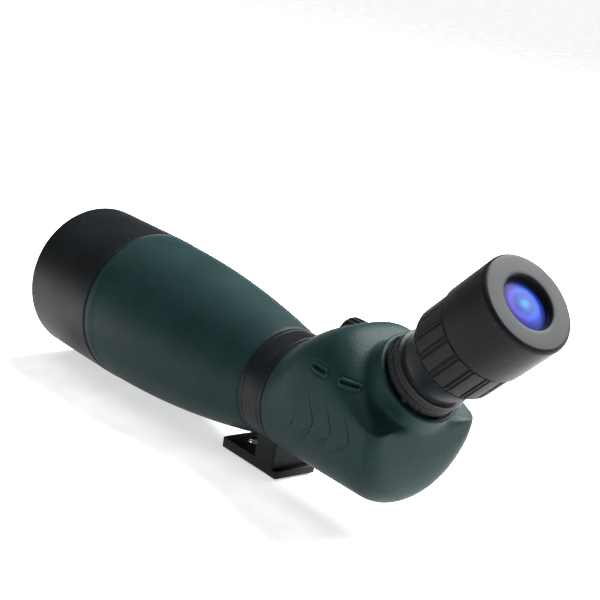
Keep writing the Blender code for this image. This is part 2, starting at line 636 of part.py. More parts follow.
def housing_shell():
    """Moulded shell: eyepiece boss, knob pocket and sockets for the guide rods."""
    shell = housing_solid("housing_shell", SHELL_INSET, "shell_plastic")
    boss_top = BOSS_TOP - 0.4 * MM
    join(shell, rod("boss", BOSS_RADIUS - ARMOUR_WALL - GAP, BOSS_ROOT, boss_top, EYE_AXIS,
                    "steel", LARGE))

    hollow = housing_solid("hollow", CAVITY_INSET, "steel", HOUSING_FRONT + 2 * MM)
    cut(hollow, along_knob(rod("cup", POCKET_RADIUS + POCKET_WALL, KNOB_FLOOR - POCKET_FLOOR,
                               HOUSING_FRONT - MM, HOUSING, "steel", MEDIUM)))
    for side in (-1, 1):
        cut(hollow, along_rod(side, rod("socket", ROD_RADIUS + 2 * MM, -HOUSING_BACK - MM,
                                        ROD_REAR + 3 * MM, HOUSING, "steel", TINY)))
    cut(shell, hollow)

    cut(shell, along_knob(rod("pocket", POCKET_RADIUS, KNOB_FLOOR, HOUSING_FRONT + MM,
                              HOUSING, "steel", MEDIUM)))
    cut(shell, along_knob(rod("bush_hole", JOURNAL_RADIUS + BUSH_WALL + 2 * GAP,
                              KNOB_FLOOR - POCKET_FLOOR - MM, KNOB_FLOOR + MM, HOUSING, "steel",
                              SMALL)))
    drill(shell, PORT_RADIUS, BOSS_ROOT - 5 * MM, BOSS_TOP + MM, EYE_AXIS, LARGE)
    for at in flange_screw_places():
        drill(shell, 1.2 * MM, boss_top - 6 * MM, BOSS_TOP + MM, EYE_AXIS, TINY, at)
    for side in (-1, 1):
        cut(shell, along_rod(side, rod("hole", ROD_RADIUS + GAP, ROD_REAR - GAP,
                                       ROD_REAR + 5 * MM, HOUSING, "steel", TINY)))


def bulkhead_and_rods():
    """The bulkhead screws into the housing's open front and holds the barrel and the rods."""
    front = COLLAR_REAR - 2 * GAP
    rear = front - BULKHEAD_LENGTH
    plate = ring("housing_bulkhead", BULKHEAD_RADIUS, BULKHEAD_BORE, rear, front, MAIN_AXIS,
                 "aluminium", LARGE)
    for side, label in ((-1, "left"), (1, "right")):
        drill(plate, ROD_RADIUS + GAP, rear - MM, front - MM, MAIN_AXIS, TINY, (side * ROD_X, 0))
        along_rod(side, rod("guide_rod_" + label, ROD_RADIUS, ROD_REAR,
                            front - MM - GAP - CROSS_Y, HOUSING, "steel", TINY))


# ------------------------------------------------------------------------------ focusing drive
def focus_knob():
    """The knob, its rubber grip and cap, and the leadscrew turn together."""
    knob = empty("focus_axis", (KNOB_X, 0, KNOB_Z), (math.radians(-90), 0, 0), HOUSING)
    bottom = KNOB_FLOOR + 2 * GAP
    grip_bore = KNOB_RADIUS - GRIP_WALL
    core_radius = grip_bore - GAP
    core_top = KNOB_FRONT - CAP_THICKNESS - GAP
    journal_top = bottom + 6 * MM
    bore = JOURNAL_RADIUS + GAP
    turned("knob_core",
           [(0, core_top), (core_radius, core_top), (core_radius, bottom)],
           [(bore, bottom), (bore, journal_top + GAP), (0, journal_top + GAP)],
           knob, "anodised_black", MEDIUM)
    chamfer = 1.2 * MM
    turned("knob_grip",
           [(KNOB_RADIUS - chamfer, core_top), (KNOB_RADIUS, core_top - chamfer),
            (KNOB_RADIUS, bottom + chamfer / 2), (KNOB_RADIUS - chamfer / 2, bottom)],
           [(grip_bore, bottom), (grip_bore, core_top)], knob, "soft_black", MEDIUM)
    rod("knob_cap", core_radius - MM, core_top + GAP, KNOB_FRONT, knob, "satin_black", MEDIUM)
    clip_front = KNOB_FLOOR - POCKET_FLOOR - GAP
    journal_rear = clip_front - CLIP_LENGTH - GAP
    turned("focus_screw",
           [(0, journal_top), (JOURNAL_RADIUS, journal_top), (JOURNAL_RADIUS, journal_rear),
            (SCREW_RADIUS, journal_rear), (SCREW_RADIUS, SCREW_REAR), (0, SCREW_REAR)],
           [], knob, "steel", SMALL)
    ring("focus_clip", bore + CLIP_WALL, bore, clip_front - CLIP_LENGTH, clip_front, knob,
         "steel", SMALL)
    along_knob(ring("focus_bush", bore + BUSH_WALL, bore, KNOB_FLOOR - POCKET_FLOOR, KNOB_FLOOR,
                    HOUSING, "brass", SMALL))


def on_eye_face(point):
    """(y, z) of a point given as (along the eyepiece's face, along its axis)."""
    along, height = point
    c, s = math.cos(EYE_TILT), math.sin(EYE_TILT)
    return (along * c - height * s, along * s + height * c)


def focus_carriage():
    """The prism cage slides on the guide rods; the leadscrew's nut is held in its arm."""
    nut_bore = SCREW_RADIUS + GAP
    nut_radius = nut_bore + NUT_WALL
    half = NUT_LENGTH / 2
    cage = box("prism_cage", (-CAGE_OUTER, CAGE_BACK, CAGE_BOTTOM),
               (CAGE_OUTER, CAGE_FRONT, CAGE_TOP), HOUSING, "shell_plastic")
    cut(cage, box("channel", (-CAGE_INNER, CAGE_BACK - MM, CAGE_BOTTOM + CAGE_FLOOR),
                  (CAGE_INNER, CAGE_FRONT + MM, CAGE_TOP + MM), HOUSING, "steel"))
    cut(cage, prism("slant", [on_eye_face(p) for p in
                              ((-40 * MM, ROOF_TOP), (40 * MM, ROOF_TOP),
                               (40 * MM, 60 * MM), (-40 * MM, 60 * MM))],
                    CAGE_OUTER + MM, HOUSING, "steel"))
    lug = ROD_RADIUS + 2.3 * MM
    for side in (-1, 1):
        low, high = sorted((side * (CAGE_INNER + MM), side * (ROD_X + lug)))
        join(cage, box("lug", (low, -6 * MM, -lug), (high, 6 * MM, lug), HOUSING, "steel"))
    arm = half + MM
    join(cage, box("arm", (CAGE_INNER + MM, -arm, CAGE_TOP - 6 * MM),
                   (KNOB_X + MM, arm, KNOB_Z), HOUSING, "steel"))
    join(cage, along_knob(rod("eye", nut_radius + GAP + MM, -arm, arm, HOUSING, "steel", SMALL)))
    for side in (-1, 1):
        cut(cage, along_rod(side, rod("rod_hole", ROD_RADIUS + GAP, -10 * MM, 10 * MM, HOUSING,
                                      "steel", TINY)))
    cut(cage, along_knob(rod("nut_hole", nut_radius + GAP, -arm - MM, arm + MM, HOUSING, "steel",
                             SMALL)))
    along_knob(ring("focus_nut", nut_radius, nut_bore, -half, half, HOUSING, "brass", SMALL))

    exit_low = on_eye_face((EXIT_LOW, PRISM_EXIT))
    exit_high = on_eye_face((EXIT_HIGH, PRISM_EXIT))
    height = PRISM_HALF_HEIGHT
    prism("half_penta_prism",
          [(PRISM_FRONT, -height), (PRISM_FRONT, height), exit_high, exit_low,
           (2 * exit_low[0] / 3, -height)], PRISM_HALF_WIDTH, HOUSING, "prism_glass")
    base = PRISM_EXIT + 2 * GAP
    prism("roof_prism", [on_eye_face(p) for p in
                         ((-ROOF_BASE_HALF, base), (ROOF_BASE_HALF, base),
                          (ROOF_TOP_HALF, ROOF_TOP), (-ROOF_TOP_HALF, ROOF_TOP))],
          PRISM_HALF_WIDTH, HOUSING, "prism_glass")

    seat = ROOF_TOP + GAP
    strap = box("prism_clamp", (-CAGE_OUTER, STRAP_OFFSET - STRAP_HALF_WIDTH, seat),
                (CAGE_OUTER, STRAP_OFFSET + STRAP_HALF_WIDTH, seat + STRAP_THICKNESS),
                EYE_AXIS, "steel")
    screw_x = CAGE_INNER + CHEEK_WALL / 2
    for side, label in ((-1, "left"), (1, "right")):
        at = (side * screw_x, STRAP_OFFSET)
        drill(strap, 1.1 * MM, seat - MM, seat + 2 * MM, EYE_AXIS, TINY, at)
        drill(cage, 1.1 * MM, seat - 5 * MM, seat + MM, EYE_AXIS, TINY, at)
        screw_piece("clamp_screw_" + label, 0.8 * MM, 1.5 * MM, seat - 4 * MM,
                    seat + STRAP_THICKNESS + GAP, 1.0 * MM, EYE_AXIS, "steel", at)


# ---------------------------------------------------------------------- eyepiece, fixed pieces
def flange_screw_places():
    return [(FLANGE_SCREW_CIRCLE * math.cos(a), FLANGE_SCREW_CIRCLE * math.sin(a))
            for a in (math.radians(90 + 120 * i) for i in range(3))]


def eyepiece_mount():
    """Metal flange screwed to the housing's boss, and the knurled lock ring above it."""
    spigot = PORT_RADIUS - GAP
    flange = turned("eyepiece_flange",
                    [(NOSE_RADIUS, LOCK_BOTTOM - GAP), (NOSE_RADIUS, FLANGE_TOP),
                     (FLANGE_RADIUS, FLANGE_TOP), (FLANGE_RADIUS, FLANGE_BOTTOM),
                     (spigot, FLANGE_BOTTOM), (spigot, FLANGE_BOTTOM - 7 * MM)],
                    [(FLANGE_BORE, FLANGE_BOTTOM - 7 * MM), (FLANGE_BORE, LOCK_BOTTOM - GAP)],
                    EYE_AXIS, "anodised_black", MEDIUM)
    for i, at in enumerate(flange_screw_places()):
        drill(flange, 1.2 * MM, FLANGE_BOTTOM - MM, FLANGE_TOP + MM, EYE_AXIS, TINY, at)
        screw_piece("flange_screw_%d" % (i + 1), 0.9 * MM, 1.6 * MM, FLANGE_BOTTOM - 5 * MM,
                    FLANGE_TOP + GAP, 1.0 * MM, EYE_AXIS, "steel", at)
    ring("lock_ring", KNURL_RADIUS, NOSE_RADIUS + GAP, LOCK_BOTTOM, LOCK_TOP, EYE_AXIS,
         "anodised_black", LARGE)


def flare(pieces=4):
    """The neck's smooth flare, from under the zoom ring down to the knurled base."""
    top, bottom = ZOOM_BOTTOM - GAP, BASE_TOP + 0.5 * MM
    points = []
    for i in range(pieces + 1):
        t = i / pieces
        radius = NECK_RADIUS + (FLARE_RADIUS - NECK_RADIUS) * (1 - t) ** 1.7
        points.append((radius, top + (bottom - top) * t))
    return points


def eyepiece_barrel():
    """Knurled base and flared neck in one turning, the tube inside it and the field stop."""
    seat = BASE_BOTTOM + 0.7 * MM
    bore = GUIDE_TUBE_RADIUS + GAP
    nose_bore = GUIDE_BORE - 0.8 * MM
    turned("eyepiece_barrel",
           flare() + [(NECK_RADIUS, BASE_TOP), (KNURL_RADIUS, BASE_TOP),
                      (KNURL_RADIUS, BASE_BOTTOM), (NOSE_RADIUS, BASE_BOTTOM),
                      (NOSE_RADIUS, LOCK_BOTTOM)],
           [(nose_bore, LOCK_BOTTOM), (nose_bore, seat), (bore, seat), (bore, ZOOM_BOTTOM - GAP)],
           EYE_AXIS, "anodised_black", LARGE)
    ring("field_stop", nose_bore - GAP, STOP_RADIUS, LOCK_BOTTOM + MM, BASE_BOTTOM - MM, EYE_AXIS,
         "matt_baffle", SMALL)
    tube = ring("zoom_guide_tube", GUIDE_TUBE_RADIUS, GUIDE_BORE, seat + GAP, GUIDE_TUBE_TOP,
                EYE_AXIS, "aluminium", MEDIUM)
    half = PIN_RADIUS + PIN_CLEARANCE
    for pin, travel, side in ((FRONT_PIN, FRONT_TRAVEL, 1), (REAR_PIN, REAR_TRAVEL, -1)):
        low, high = sorted((pin, pin + travel))
        inside, outside = sorted((side * (GUIDE_BORE - MM), side * (GUIDE_TUBE_RADIUS + MM)))
        cut(tube, box("slot", (inside, -half, low - half), (outside, half, high + half),
                      EYE_AXIS, "steel"))


def eyepiece_top():
    """The fixed top of the eyepiece, and the eye lens group in its cell."""
    shoulder = CUP_BOTTOM - GAP
    step = CAM_TOP + GAP + 0.1 * MM
    pocket = EYE_CELL_BOTTOM - GAP
    cell_radius = TOP_RADIUS - 2.7 * MM
    turned("eyepiece_top",
           [(TOP_RADIUS, TOP_HEIGHT), (TOP_RADIUS, shoulder + 1.7 * MM),
            (CORE_RADIUS, shoulder + 1.7 * MM), (CORE_RADIUS, ZOOM_TOP + GAP)],
           [(CORE_BORE, ZOOM_TOP + GAP), (CORE_BORE, step), (GUIDE_TUBE_RADIUS + GAP, step),
            (GUIDE_TUBE_RADIUS + GAP, pocket), (cell_radius + GAP, pocket),
            (cell_radius + GAP, TOP_HEIGHT)],
           EYE_AXIS, "anodised_black", MEDIUM)

    seat = pocket + GAP + 1.4 * MM
    inner_top = seat + GAP + 4.0 * MM
    ledge = inner_top + 1.9 * MM
    eye_top = ledge + GAP + 2.5 * MM
    inner_bore = INNER_LENS_RADIUS + GAP
    eye_bore = EYE_LENS_RADIUS + GAP
    turned("eye_lens_cell",
           [(TOP_RADIUS - GAP, CELL_FLANGE_TOP), (TOP_RADIUS - GAP, TOP_HEIGHT + GAP),
            (cell_radius, TOP_HEIGHT + GAP), (cell_radius, pocket + GAP)],
           [(inner_bore - 1.8 * MM, pocket + GAP), (inner_bore - 1.8 * MM, seat),
            (inner_bore, seat), (inner_bore, ledge), (eye_bore, ledge),
            (eye_bore, CELL_FLANGE_TOP)],
           EYE_AXIS, "anodised_black", MEDIUM)
    lens("eye_lens_inner", INNER_LENS_RADIUS, seat + GAP, inner_top, 0, 1.2 * MM, EYE_AXIS,
         "lens_glass")
    lens("eye_lens", EYE_LENS_RADIUS, ledge + GAP, eye_top, 0, 1.6 * MM, EYE_AXIS, "lens_glass")
    bore = EYE_LENS_RADIUS - 1.4 * MM
    top = eye_top + GAP + EYE_RETAINER_HEIGHT
    turned("eye_lens_retainer",
           [(EYE_LENS_RADIUS, top), (EYE_LENS_RADIUS, eye_top + GAP)],
           [(bore, eye_top + GAP), (bore, top - 1.1 * MM), (bore + 0.7 * MM, top)],
           EYE_AXIS, "matt_baffle", MEDIUM)


# --------------------------------------------------------------------- eyepiece, moving pieces
def helical_slot(pin, travel, start):
    """Cutter for the slot that a pin follows while the cam sleeve turns past it."""
    half = PIN_RADIUS + PIN_CLEARANCE
    spare = half / CAM_BORE
    count = 14
    sections = []
    for i in range(count + 1):
        turn = -spare + (ZOOM_TURN + 2 * spare) * i / count
        height = pin + travel * turn / ZOOM_TURN
        c, s = math.cos(start - turn), math.sin(start - turn)
        corners = ((CAM_BORE - MM, -half), (CAM_RADIUS + MM, -half),
                   (CAM_RADIUS + MM, half), (CAM_BORE - MM, half))
        sections.append([(radius * c, radius * s, height + up) for radius, up in corners])
    return loft("slot", sections, EYE_AXIS, "steel")


def zoom_ring():
    """Ribbed grip, its metal core and the slotted cam sleeve turn together."""
    ring("zoom_ring_core", CORE_RADIUS, CORE_BORE, ZOOM_BOTTOM, ZOOM_TOP, EYE_AXIS,
         "anodised_black", MEDIUM)
    chamfer = 0.8 * MM
    turned("zoom_grip",
           [(ZOOM_RADIUS, ZOOM_TOP), (ZOOM_RADIUS, ZOOM_BOTTOM + chamfer),
            (ZOOM_RADIUS - chamfer, ZOOM_BOTTOM)],
           [(CORE_RADIUS + GAP, ZOOM_BOTTOM), (CORE_RADIUS + GAP, ZOOM_TOP)],
           EYE_AXIS, "soft_black", LARGE)
    sleeve = ring("cam_sleeve", CAM_RADIUS, CAM_BORE, ZOOM_BOTTOM + GAP, CAM_TOP, EYE_AXIS,
                  "aluminium", MEDIUM)
    cut(sleeve, helical_slot(FRONT_PIN, FRONT_TRAVEL, 0))
    cut(sleeve, helical_slot(REAR_PIN, REAR_TRAVEL, math.pi))


def zoom_groups():
    """Two lens cells that slide in the guide tube, each driven by a pin in the cam's slot."""
    radius = GUIDE_BORE - GAP
    bore = radius - ZOOM_CELL_WALL
    for name, pin, side in (("zoom_front", FRONT_PIN, 1), ("zoom_rear", REAR_PIN, -1)):
        bottom, top = pin - 3.2 * MM, pin + 3.6 * MM
        group = empty(name + "_slide", (0, 0, 0), parent=EYE_AXIS)
        cell = ring(name + "_cell", radius, bore, bottom, top, group, "anodised_black", MEDIUM)
        lens(name + "_lens", bore - GAP, pin - 1.4 * MM, pin + 1.4 * MM, -side * 1.2 * MM,
             side * 1.2 * MM, group, "lens_glass", SMALL)
        sideways = Matrix.Translation((0, 0, pin)) @ Matrix.Rotation(side * math.pi / 2, 4, "Y")
        hole = rod("hole", PIN_RADIUS + GAP, bore - MM, radius + MM, group, "steel", TINY)
        hole.matrix_basis = sideways
        cut(cell, hole)
        peg = rod(name + "_pin", PIN_RADIUS, bore + GAP, CAM_RADIUS - GAP, group, "steel", TINY)
        peg.matrix_basis = sideways


def eyecup():
    """Twist-up eyecup: a turning helix ring lifts the sleeve and its cover."""
    bottom = CUP_BOTTOM + 2 * MM
    ring("eyecup_helix_ring", HELIX_RADIUS, HELIX_BORE, bottom, bottom + 9.4 * MM, EYE_AXIS,
         "anodised_black", MEDIUM)
    ring("eyecup_sleeve", SLEEVE_RADIUS, SLEEVE_BORE, bottom, CUP_TOP - CUP_FACE - GAP,
         EYE_AXIS, "shell_plastic", MEDIUM)
    corner = []
    for i in range(5):
        angle = math.radians(90 - 22.5 * i)
        corner.append((CUP_RADIUS - CUP_ROUNDING * (1 - math.cos(angle)),
                       CUP_TOP - CUP_ROUNDING * (1 - math.sin(angle))))
    chamfer = 0.5 * MM
    turned("eyecup_cover",
           [(CUP_HOLE + chamfer, CUP_TOP)] + corner + [(CUP_RADIUS, CUP_BOTTOM)],
           [(COVER_BORE, CUP_BOTTOM), (COVER_BORE, CUP_TOP - CUP_FACE),
            (CUP_HOLE, CUP_TOP - CUP_FACE), (CUP_HOLE, CUP_TOP - chamfer)],
           EYE_AXIS, "soft_black", LARGE)


# ---------------------------------------------------------------------------------- assembly
clear_scene()
SCOPE = new_collection("spotting_scope")
FORWARD = Matrix.Rotation(math.radians(-90), 4, "X")
MAIN_AXIS = empty("main_axis", (0, 0, AXIS_HEIGHT), (math.radians(-90), 0, 0))
HOUSING = empty("housing_frame", (0, CROSS_Y, AXIS_HEIGHT))
EYE_AXIS = empty("eye_axis", (0, 0, 0), (EYE_TILT, 0, 0), HOUSING)

collar_and_foot()
barrel()
sunshade()
objective()
housing_armour()
housing_shell()
bulkhead_and_rods()
focus_knob()
focus_carriage()
eyepiece_mount()
eyepiece_barrel()
eyepiece_top()
zoom_ring()
zoom_groups()
eyecup()
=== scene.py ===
import json
import math

import bmesh
import bpy
import numpy as np
from mathutils import Matrix, Vector


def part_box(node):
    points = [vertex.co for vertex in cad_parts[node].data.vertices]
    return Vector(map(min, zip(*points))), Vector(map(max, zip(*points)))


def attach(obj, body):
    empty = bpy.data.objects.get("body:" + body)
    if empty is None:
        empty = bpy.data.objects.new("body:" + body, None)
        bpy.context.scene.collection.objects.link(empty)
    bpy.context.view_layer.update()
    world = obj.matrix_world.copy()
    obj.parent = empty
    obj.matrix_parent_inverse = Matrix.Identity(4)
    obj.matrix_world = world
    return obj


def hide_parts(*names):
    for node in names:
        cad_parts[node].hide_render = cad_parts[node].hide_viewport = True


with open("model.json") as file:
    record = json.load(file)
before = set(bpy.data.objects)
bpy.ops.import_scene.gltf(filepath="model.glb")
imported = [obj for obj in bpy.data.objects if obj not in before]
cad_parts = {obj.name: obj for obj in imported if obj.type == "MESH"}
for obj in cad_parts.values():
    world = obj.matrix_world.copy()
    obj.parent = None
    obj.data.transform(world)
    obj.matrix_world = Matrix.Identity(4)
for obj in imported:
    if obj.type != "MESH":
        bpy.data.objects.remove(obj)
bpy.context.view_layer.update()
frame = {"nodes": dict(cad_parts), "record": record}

MM = 0.001
BULKHEAD_INSET = 4.6 * MM   # from the collar's outside in to the bulkhead's edge


# ------------------------------------------------------------------------ places in the frame
def record_joint(name):
    return next(j for j in frame["record"]["behaviour"]["joints"] if j["name"] == name)


CROSSING = Vector(record_joint("zoom_turn")["pos_m"])
KNOB_POINT = Vector(record_joint("focus_turn")["pos_m"])
FORWARD = Matrix.Rotation(math.radians(-90), 4, "X")
BARREL = Matrix.Translation((0, 0, CROSSING.z)) @ FORWARD
KNOB = Matrix.Translation((KNOB_POINT.x, 0, KNOB_POINT.z)) @ FORWARD
EYE_TILT = math.radians(45)
EYE = Matrix.Translation(CROSSING) @ Matrix.Rotation(EYE_TILT, 4, "X")
WORLD = Matrix.Identity(4)


def along(node):
    """(radius, rear, front) of a piece turned about an axis along Y."""
    low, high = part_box(node)
    return (high[0] - low[0]) / 2, low[1], high[1]


def up_the_eye(node):
    """(radius, bottom, top) of a piece turned about the eyepiece axis."""
    low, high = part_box(node)
    radius = (high[0] - low[0]) / 2
    c = math.cos(EYE_TILT)
    return radius, (CROSSING.y - high[1]) / c + radius, (CROSSING.y - low[1]) / c - radius


def middle_of(node):
    low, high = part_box(node)
    return tuple((Vector(low) + Vector(high)) / 2)


# ------------------------------------------------------------------------------ material tools
def add(tree, kind, **values):
    node = tree.nodes.new(kind)
    for name, value in values.items():
        if hasattr(node, name):
            setattr(node, name, value)
        else:
            node.inputs[name.replace("_", " ").title()].default_value = value
    return node


def ramp(tree, source, low, high, bottom, top):
    """Maps low..high of a value to bottom..top, with a smooth step."""
    node = add(tree, "ShaderNodeMapRange", interpolation_type="SMOOTHSTEP")
    for i, value in enumerate((low, high, bottom, top), start=1):
        node.inputs[i].default_value = value
    tree.links.new(source, node.inputs[0])
    return node.outputs[0]


def tinted(tree, factor, colour, other):
    """Mixes two colours by a factor."""
    mix = add(tree, "ShaderNodeMix", data_type="RGBA")
    tree.links.new(factor, mix.inputs[0])
    for socket, value in ((mix.inputs[6], colour), (mix.inputs[7], other)):
        if isinstance(value, tuple):
            socket.default_value = (*value, 1)
        else:
            tree.links.new(value, socket)
    return mix.outputs[2]


def noise(tree, place, size, detail=3.0, roughness=0.55):
    node = add(tree, "ShaderNodeTexNoise", detail=detail, roughness=roughness)
    node.inputs["Scale"].default_value = 1 / size
    node.inputs["Detail"].default_value = detail
    node.inputs["Roughness"].default_value = roughness
    tree.links.new(place, node.inputs["Vector"])
    return node.outputs[0]


def bump(tree, height, depth, normal=None):
    node = add(tree, "ShaderNodeBump")
    node.inputs["Strength"].default_value = 1.0
    node.inputs["Distance"].default_value = depth
    tree.links.new(height, node.inputs["Height"])
    if normal is not None:
        tree.links.new(normal, node.inputs["Normal"])
    return node.outputs[0]


def shade(colour, k):
    return tuple(min(c * k, 1.0) for c in colour)


def finish(name, colour, roughness, grain, depth, metallic=0.0, wear=0.25, specular=0.12,
           sheen=0.0, turned_marks=False, dust=(0.16, 0.16, 0.155)):
    """A moulded, painted or turned surface: fine grain in its relief, uneven tone and gloss, a
    little dust in its tone, and edges rubbed paler."""
    made = bpy.data.materials.new(name)
    made.use_nodes = True
    tree = made.node_tree
    shader = tree.nodes["Principled BSDF"]
    shader.inputs["Metallic"].default_value = metallic
    shader.inputs["Specular IOR Level"].default_value = specular
    shader.inputs["Sheen Weight"].default_value = sheen
    shader.inputs["Sheen Roughness"].default_value = 0.45
    place = add(tree, "ShaderNodeTexCoord").outputs["Object"]

    patches = noise(tree, place, 28 * MM, detail=4.0)
    tone = tinted(tree, ramp(tree, patches, 0.30, 0.70, 0, 1), shade(colour, 0.86),
                  shade(colour, 1.14))
    specks = noise(tree, place, 3.5 * MM, detail=5.0, roughness=0.7)
    tone = tinted(tree, ramp(tree, specks, 0.58, 0.80, 0, 0.10), tone, dust)
    edges = add(tree, "ShaderNodeNewGeometry").outputs["Pointiness"]
    tone = tinted(tree, ramp(tree, edges, 0.515, 0.60, 0, wear), tone,
                  shade(tuple(c + 0.02 for c in colour), 1.9))
    tree.links.new(tone, shader.inputs["Base Color"])

    gloss = ramp(tree, patches, 0.25, 0.75, roughness * 0.90, roughness * 1.10)
    tree.links.new(gloss, shader.inputs["Roughness"])

    normal = bump(tree, noise(tree, place, grain, detail=2.0), depth)
    if turned_marks:
        stretch = add(tree, "ShaderNodeMapping")
        stretch.inputs["Scale"].default_value = (0.05, 0.05, 1.0)
        tree.links.new(place, stretch.inputs["Vector"])
        normal = bump(tree, noise(tree, stretch.outputs[0], 0.25 * MM, detail=1.0), depth, normal)
    tree.links.new(normal, shader.inputs["Normal"])
    return made


def stippled_rubber(name, colour):
    """Armour rubber: a fine raised pebble all over, on a soft matt skin."""
    made = finish(name, colour, 0.50, 0.5 * MM, 0.03 * MM, wear=0.10, specular=0.08, sheen=0.02,
                  dust=shade(colour, 1.8))
    tree = made.node_tree
    shader = tree.nodes["Principled BSDF"]
    place = next(n for n in tree.nodes if n.bl_idname == "ShaderNodeTexCoord").outputs["Object"]
    cells = add(tree, "ShaderNodeTexVoronoi", feature="SMOOTH_F1")
    cells.inputs["Scale"].default_value = 1 / (0.9 * MM)
    tree.links.new(place, cells.inputs["Vector"])
    old = shader.inputs["Normal"].links[0].from_socket
    pebble = ramp(tree, cells.outputs["Distance"], 0.15, 0.75, 1, 0)
    tree.links.new(bump(tree, pebble, 0.05 * MM, old), shader.inputs["Normal"])
    return made


def painted_reflection_lens(name, low, middle, rim, tint, centre, glow):
    """Glass whose look is painted into its colour: a painted reflection in the coating's colours,
    which drifts in tone across the lens, is broken by soft curved bands of painted shade, and fades
    to painted dark towards the rim; its emission makes it glow though the lens is no lamp."""
    made = bpy.data.materials.new(name)
    made.use_nodes = True
    tree = made.node_tree
    shader = tree.nodes["Principled BSDF"]
    shader.inputs["IOR"].default_value = 1.6
    shader.inputs["Specular IOR Level"].default_value = 0.02
    place = add(tree, "ShaderNodeTexCoord").outputs["Object"]
    offset = add(tree, "ShaderNodeVectorMath", operation="SUBTRACT")
    offset.inputs[1].default_value = centre
    tree.links.new(place, offset.inputs[0])
    length = add(tree, "ShaderNodeVectorMath", operation="LENGTH")
    tree.links.new(offset.outputs[0], length.inputs[0])
    distance = length.outputs["Value"]
    split = add(tree, "ShaderNodeSeparateXYZ")
    tree.links.new(offset.outputs[0], split.inputs[0])

    # Painted reflection: coloured across the lens and brightest in the middle, with painted shade in
    # bands and towards the rim.
    across = ramp(tree, split.outputs["X"], -9 * MM, 4 * MM, 0, 1)
    painted_reflection_and_shade = tinted(tree, across, tint, rim)
    painted_reflection_and_shade = tinted(tree, ramp(tree, distance, 1 * MM, 8 * MM, 1, 0), painted_reflection_and_shade, middle)
    bands = add(tree, "ShaderNodeTexWave", wave_type="RINGS", rings_direction="SPHERICAL")
    bands.inputs["Scale"].default_value = 1 / (16 * MM)
    bands.inputs["Distortion"].default_value = 3.0
    bands.inputs["Detail"].default_value = 2.0
    tree.links.new(offset.outputs[0], bands.inputs["Vector"])
    painted_reflection_and_shade = tinted(tree, ramp(tree, bands.outputs[1], 0.2, 1.0, 0.55, 0), painted_reflection_and_shade, low)
    painted_reflection_and_shade = tinted(tree, ramp(tree, distance, 8.5 * MM, 12.5 * MM, 0, 0.8), painted_reflection_and_shade, low)
    tree.links.new(painted_reflection_and_shade, shader.inputs["Base Color"])
    # The painted reflection also glows by emission, though the lens is no lamp.
    tree.links.new(painted_reflection_and_shade, shader.inputs["Emission Color"])
    shader.inputs["Emission Strength"].default_value = glow
    specks = noise(tree, place, 1.2 * MM, detail=4.0)
    tree.links.new(ramp(tree, specks, 0.55, 0.75, 0.30, 0.45), shader.inputs["Roughness"])
    drift = noise(tree, place, 14 * MM, detail=1.0)
    tree.links.new(bump(tree, drift, 0.02 * MM), shader.inputs["Normal"])
    return made


def clear_glass(name, tint):
    made = finish(name, tint, 0.06, 6 * MM, 0.004 * MM, wear=0.0, specular=0.5)
    shader = made.node_tree.nodes["Principled BSDF"]
    shader.inputs["Transmission Weight"].default_value = 0.85
    shader.inputs["IOR"].default_value = 1.55
    return made


MATERIALS = {
    "green_rubber": stippled_rubber("green_rubber_skin", (0.0034, 0.0155, 0.0160)),
    "satin_black": finish("satin_black_paint", (0.0040, 0.0050, 0.0062), 0.42, 0.35 * MM,
                          0.020 * MM, specular=0.10),
    "anodised_black": finish("black_anodising", (0.0045, 0.0055, 0.0068), 0.38, 0.30 * MM,
                             0.012 * MM, specular=0.14, turned_marks=True),
    "black_rubber": finish("black_soft_rubber", (0.0045, 0.0055, 0.0066), 0.50, 0.40 * MM,
                           0.018 * MM, wear=0.12, specular=0.10, sheen=0.01),
    # Eyecup rubber: colour set darker and gloss lower than the grip's rubber, as painted shade for
    # the dark the cup sits in.
    "cup_rubber": finish("eyecup_rubber", (0.0035, 0.0045, 0.0056), 0.40, 0.50 * MM,
                         0.010 * MM, wear=0.10, specular=0.07, sheen=0.01),
    "shell_plastic": finish("moulded_black_plastic", (0.018, 0.019, 0.020), 0.55, 0.6 * MM,
                            0.02 * MM),
    "baffle_black": finish("matt_baffle_paint", (0.006, 0.006, 0.006), 0.85, 0.3 * MM,
                           0.03 * MM, wear=0.05, specular=0.05),
    "bare_aluminium": finish("turned_aluminium", (0.60, 0.61, 0.63), 0.34, 0.3 * MM,
                             0.008 * MM, metallic=1.0, turned_marks=True),
    "bright_steel": finish("turned_steel", (0.48, 0.49, 0.51), 0.30, 0.3 * MM, 0.008 * MM,
                           metallic=1.0, turned_marks=True),
    "brass": finish("turned_brass", (0.70, 0.50, 0.20), 0.32, 0.3 * MM, 0.008 * MM,
                    metallic=1.0, turned_marks=True),
    # Painted reflection and painted shade of the eye lens, glowing by emission.
    "eye_coating": painted_reflection_lens("eye_lens_reflection_paint", (0.006, 0.009, 0.06), (0.022, 0.16, 0.40),
                               (0.016, 0.042, 0.30), (0.052, 0.038, 0.27), middle_of("eye_lens"),
                               0.22),
    # Painted reflection and painted shade of the objective lens, darker and glowing faintly by
    # emission.
    "objective_coating": painted_reflection_lens("objective_coating", (0.002, 0.003, 0.006),
                                     (0.02, 0.05, 0.10), (0.012, 0.02, 0.05),
                                     (0.05, 0.02, 0.08), middle_of("objective_front_lens"),
                                     0.05),
    "lens_glass": clear_glass("lens_glass_clear", (0.80, 0.84, 0.95)),
    "prism_glass": clear_glass("prism_glass_clear", (0.86, 0.92, 0.93)),
}


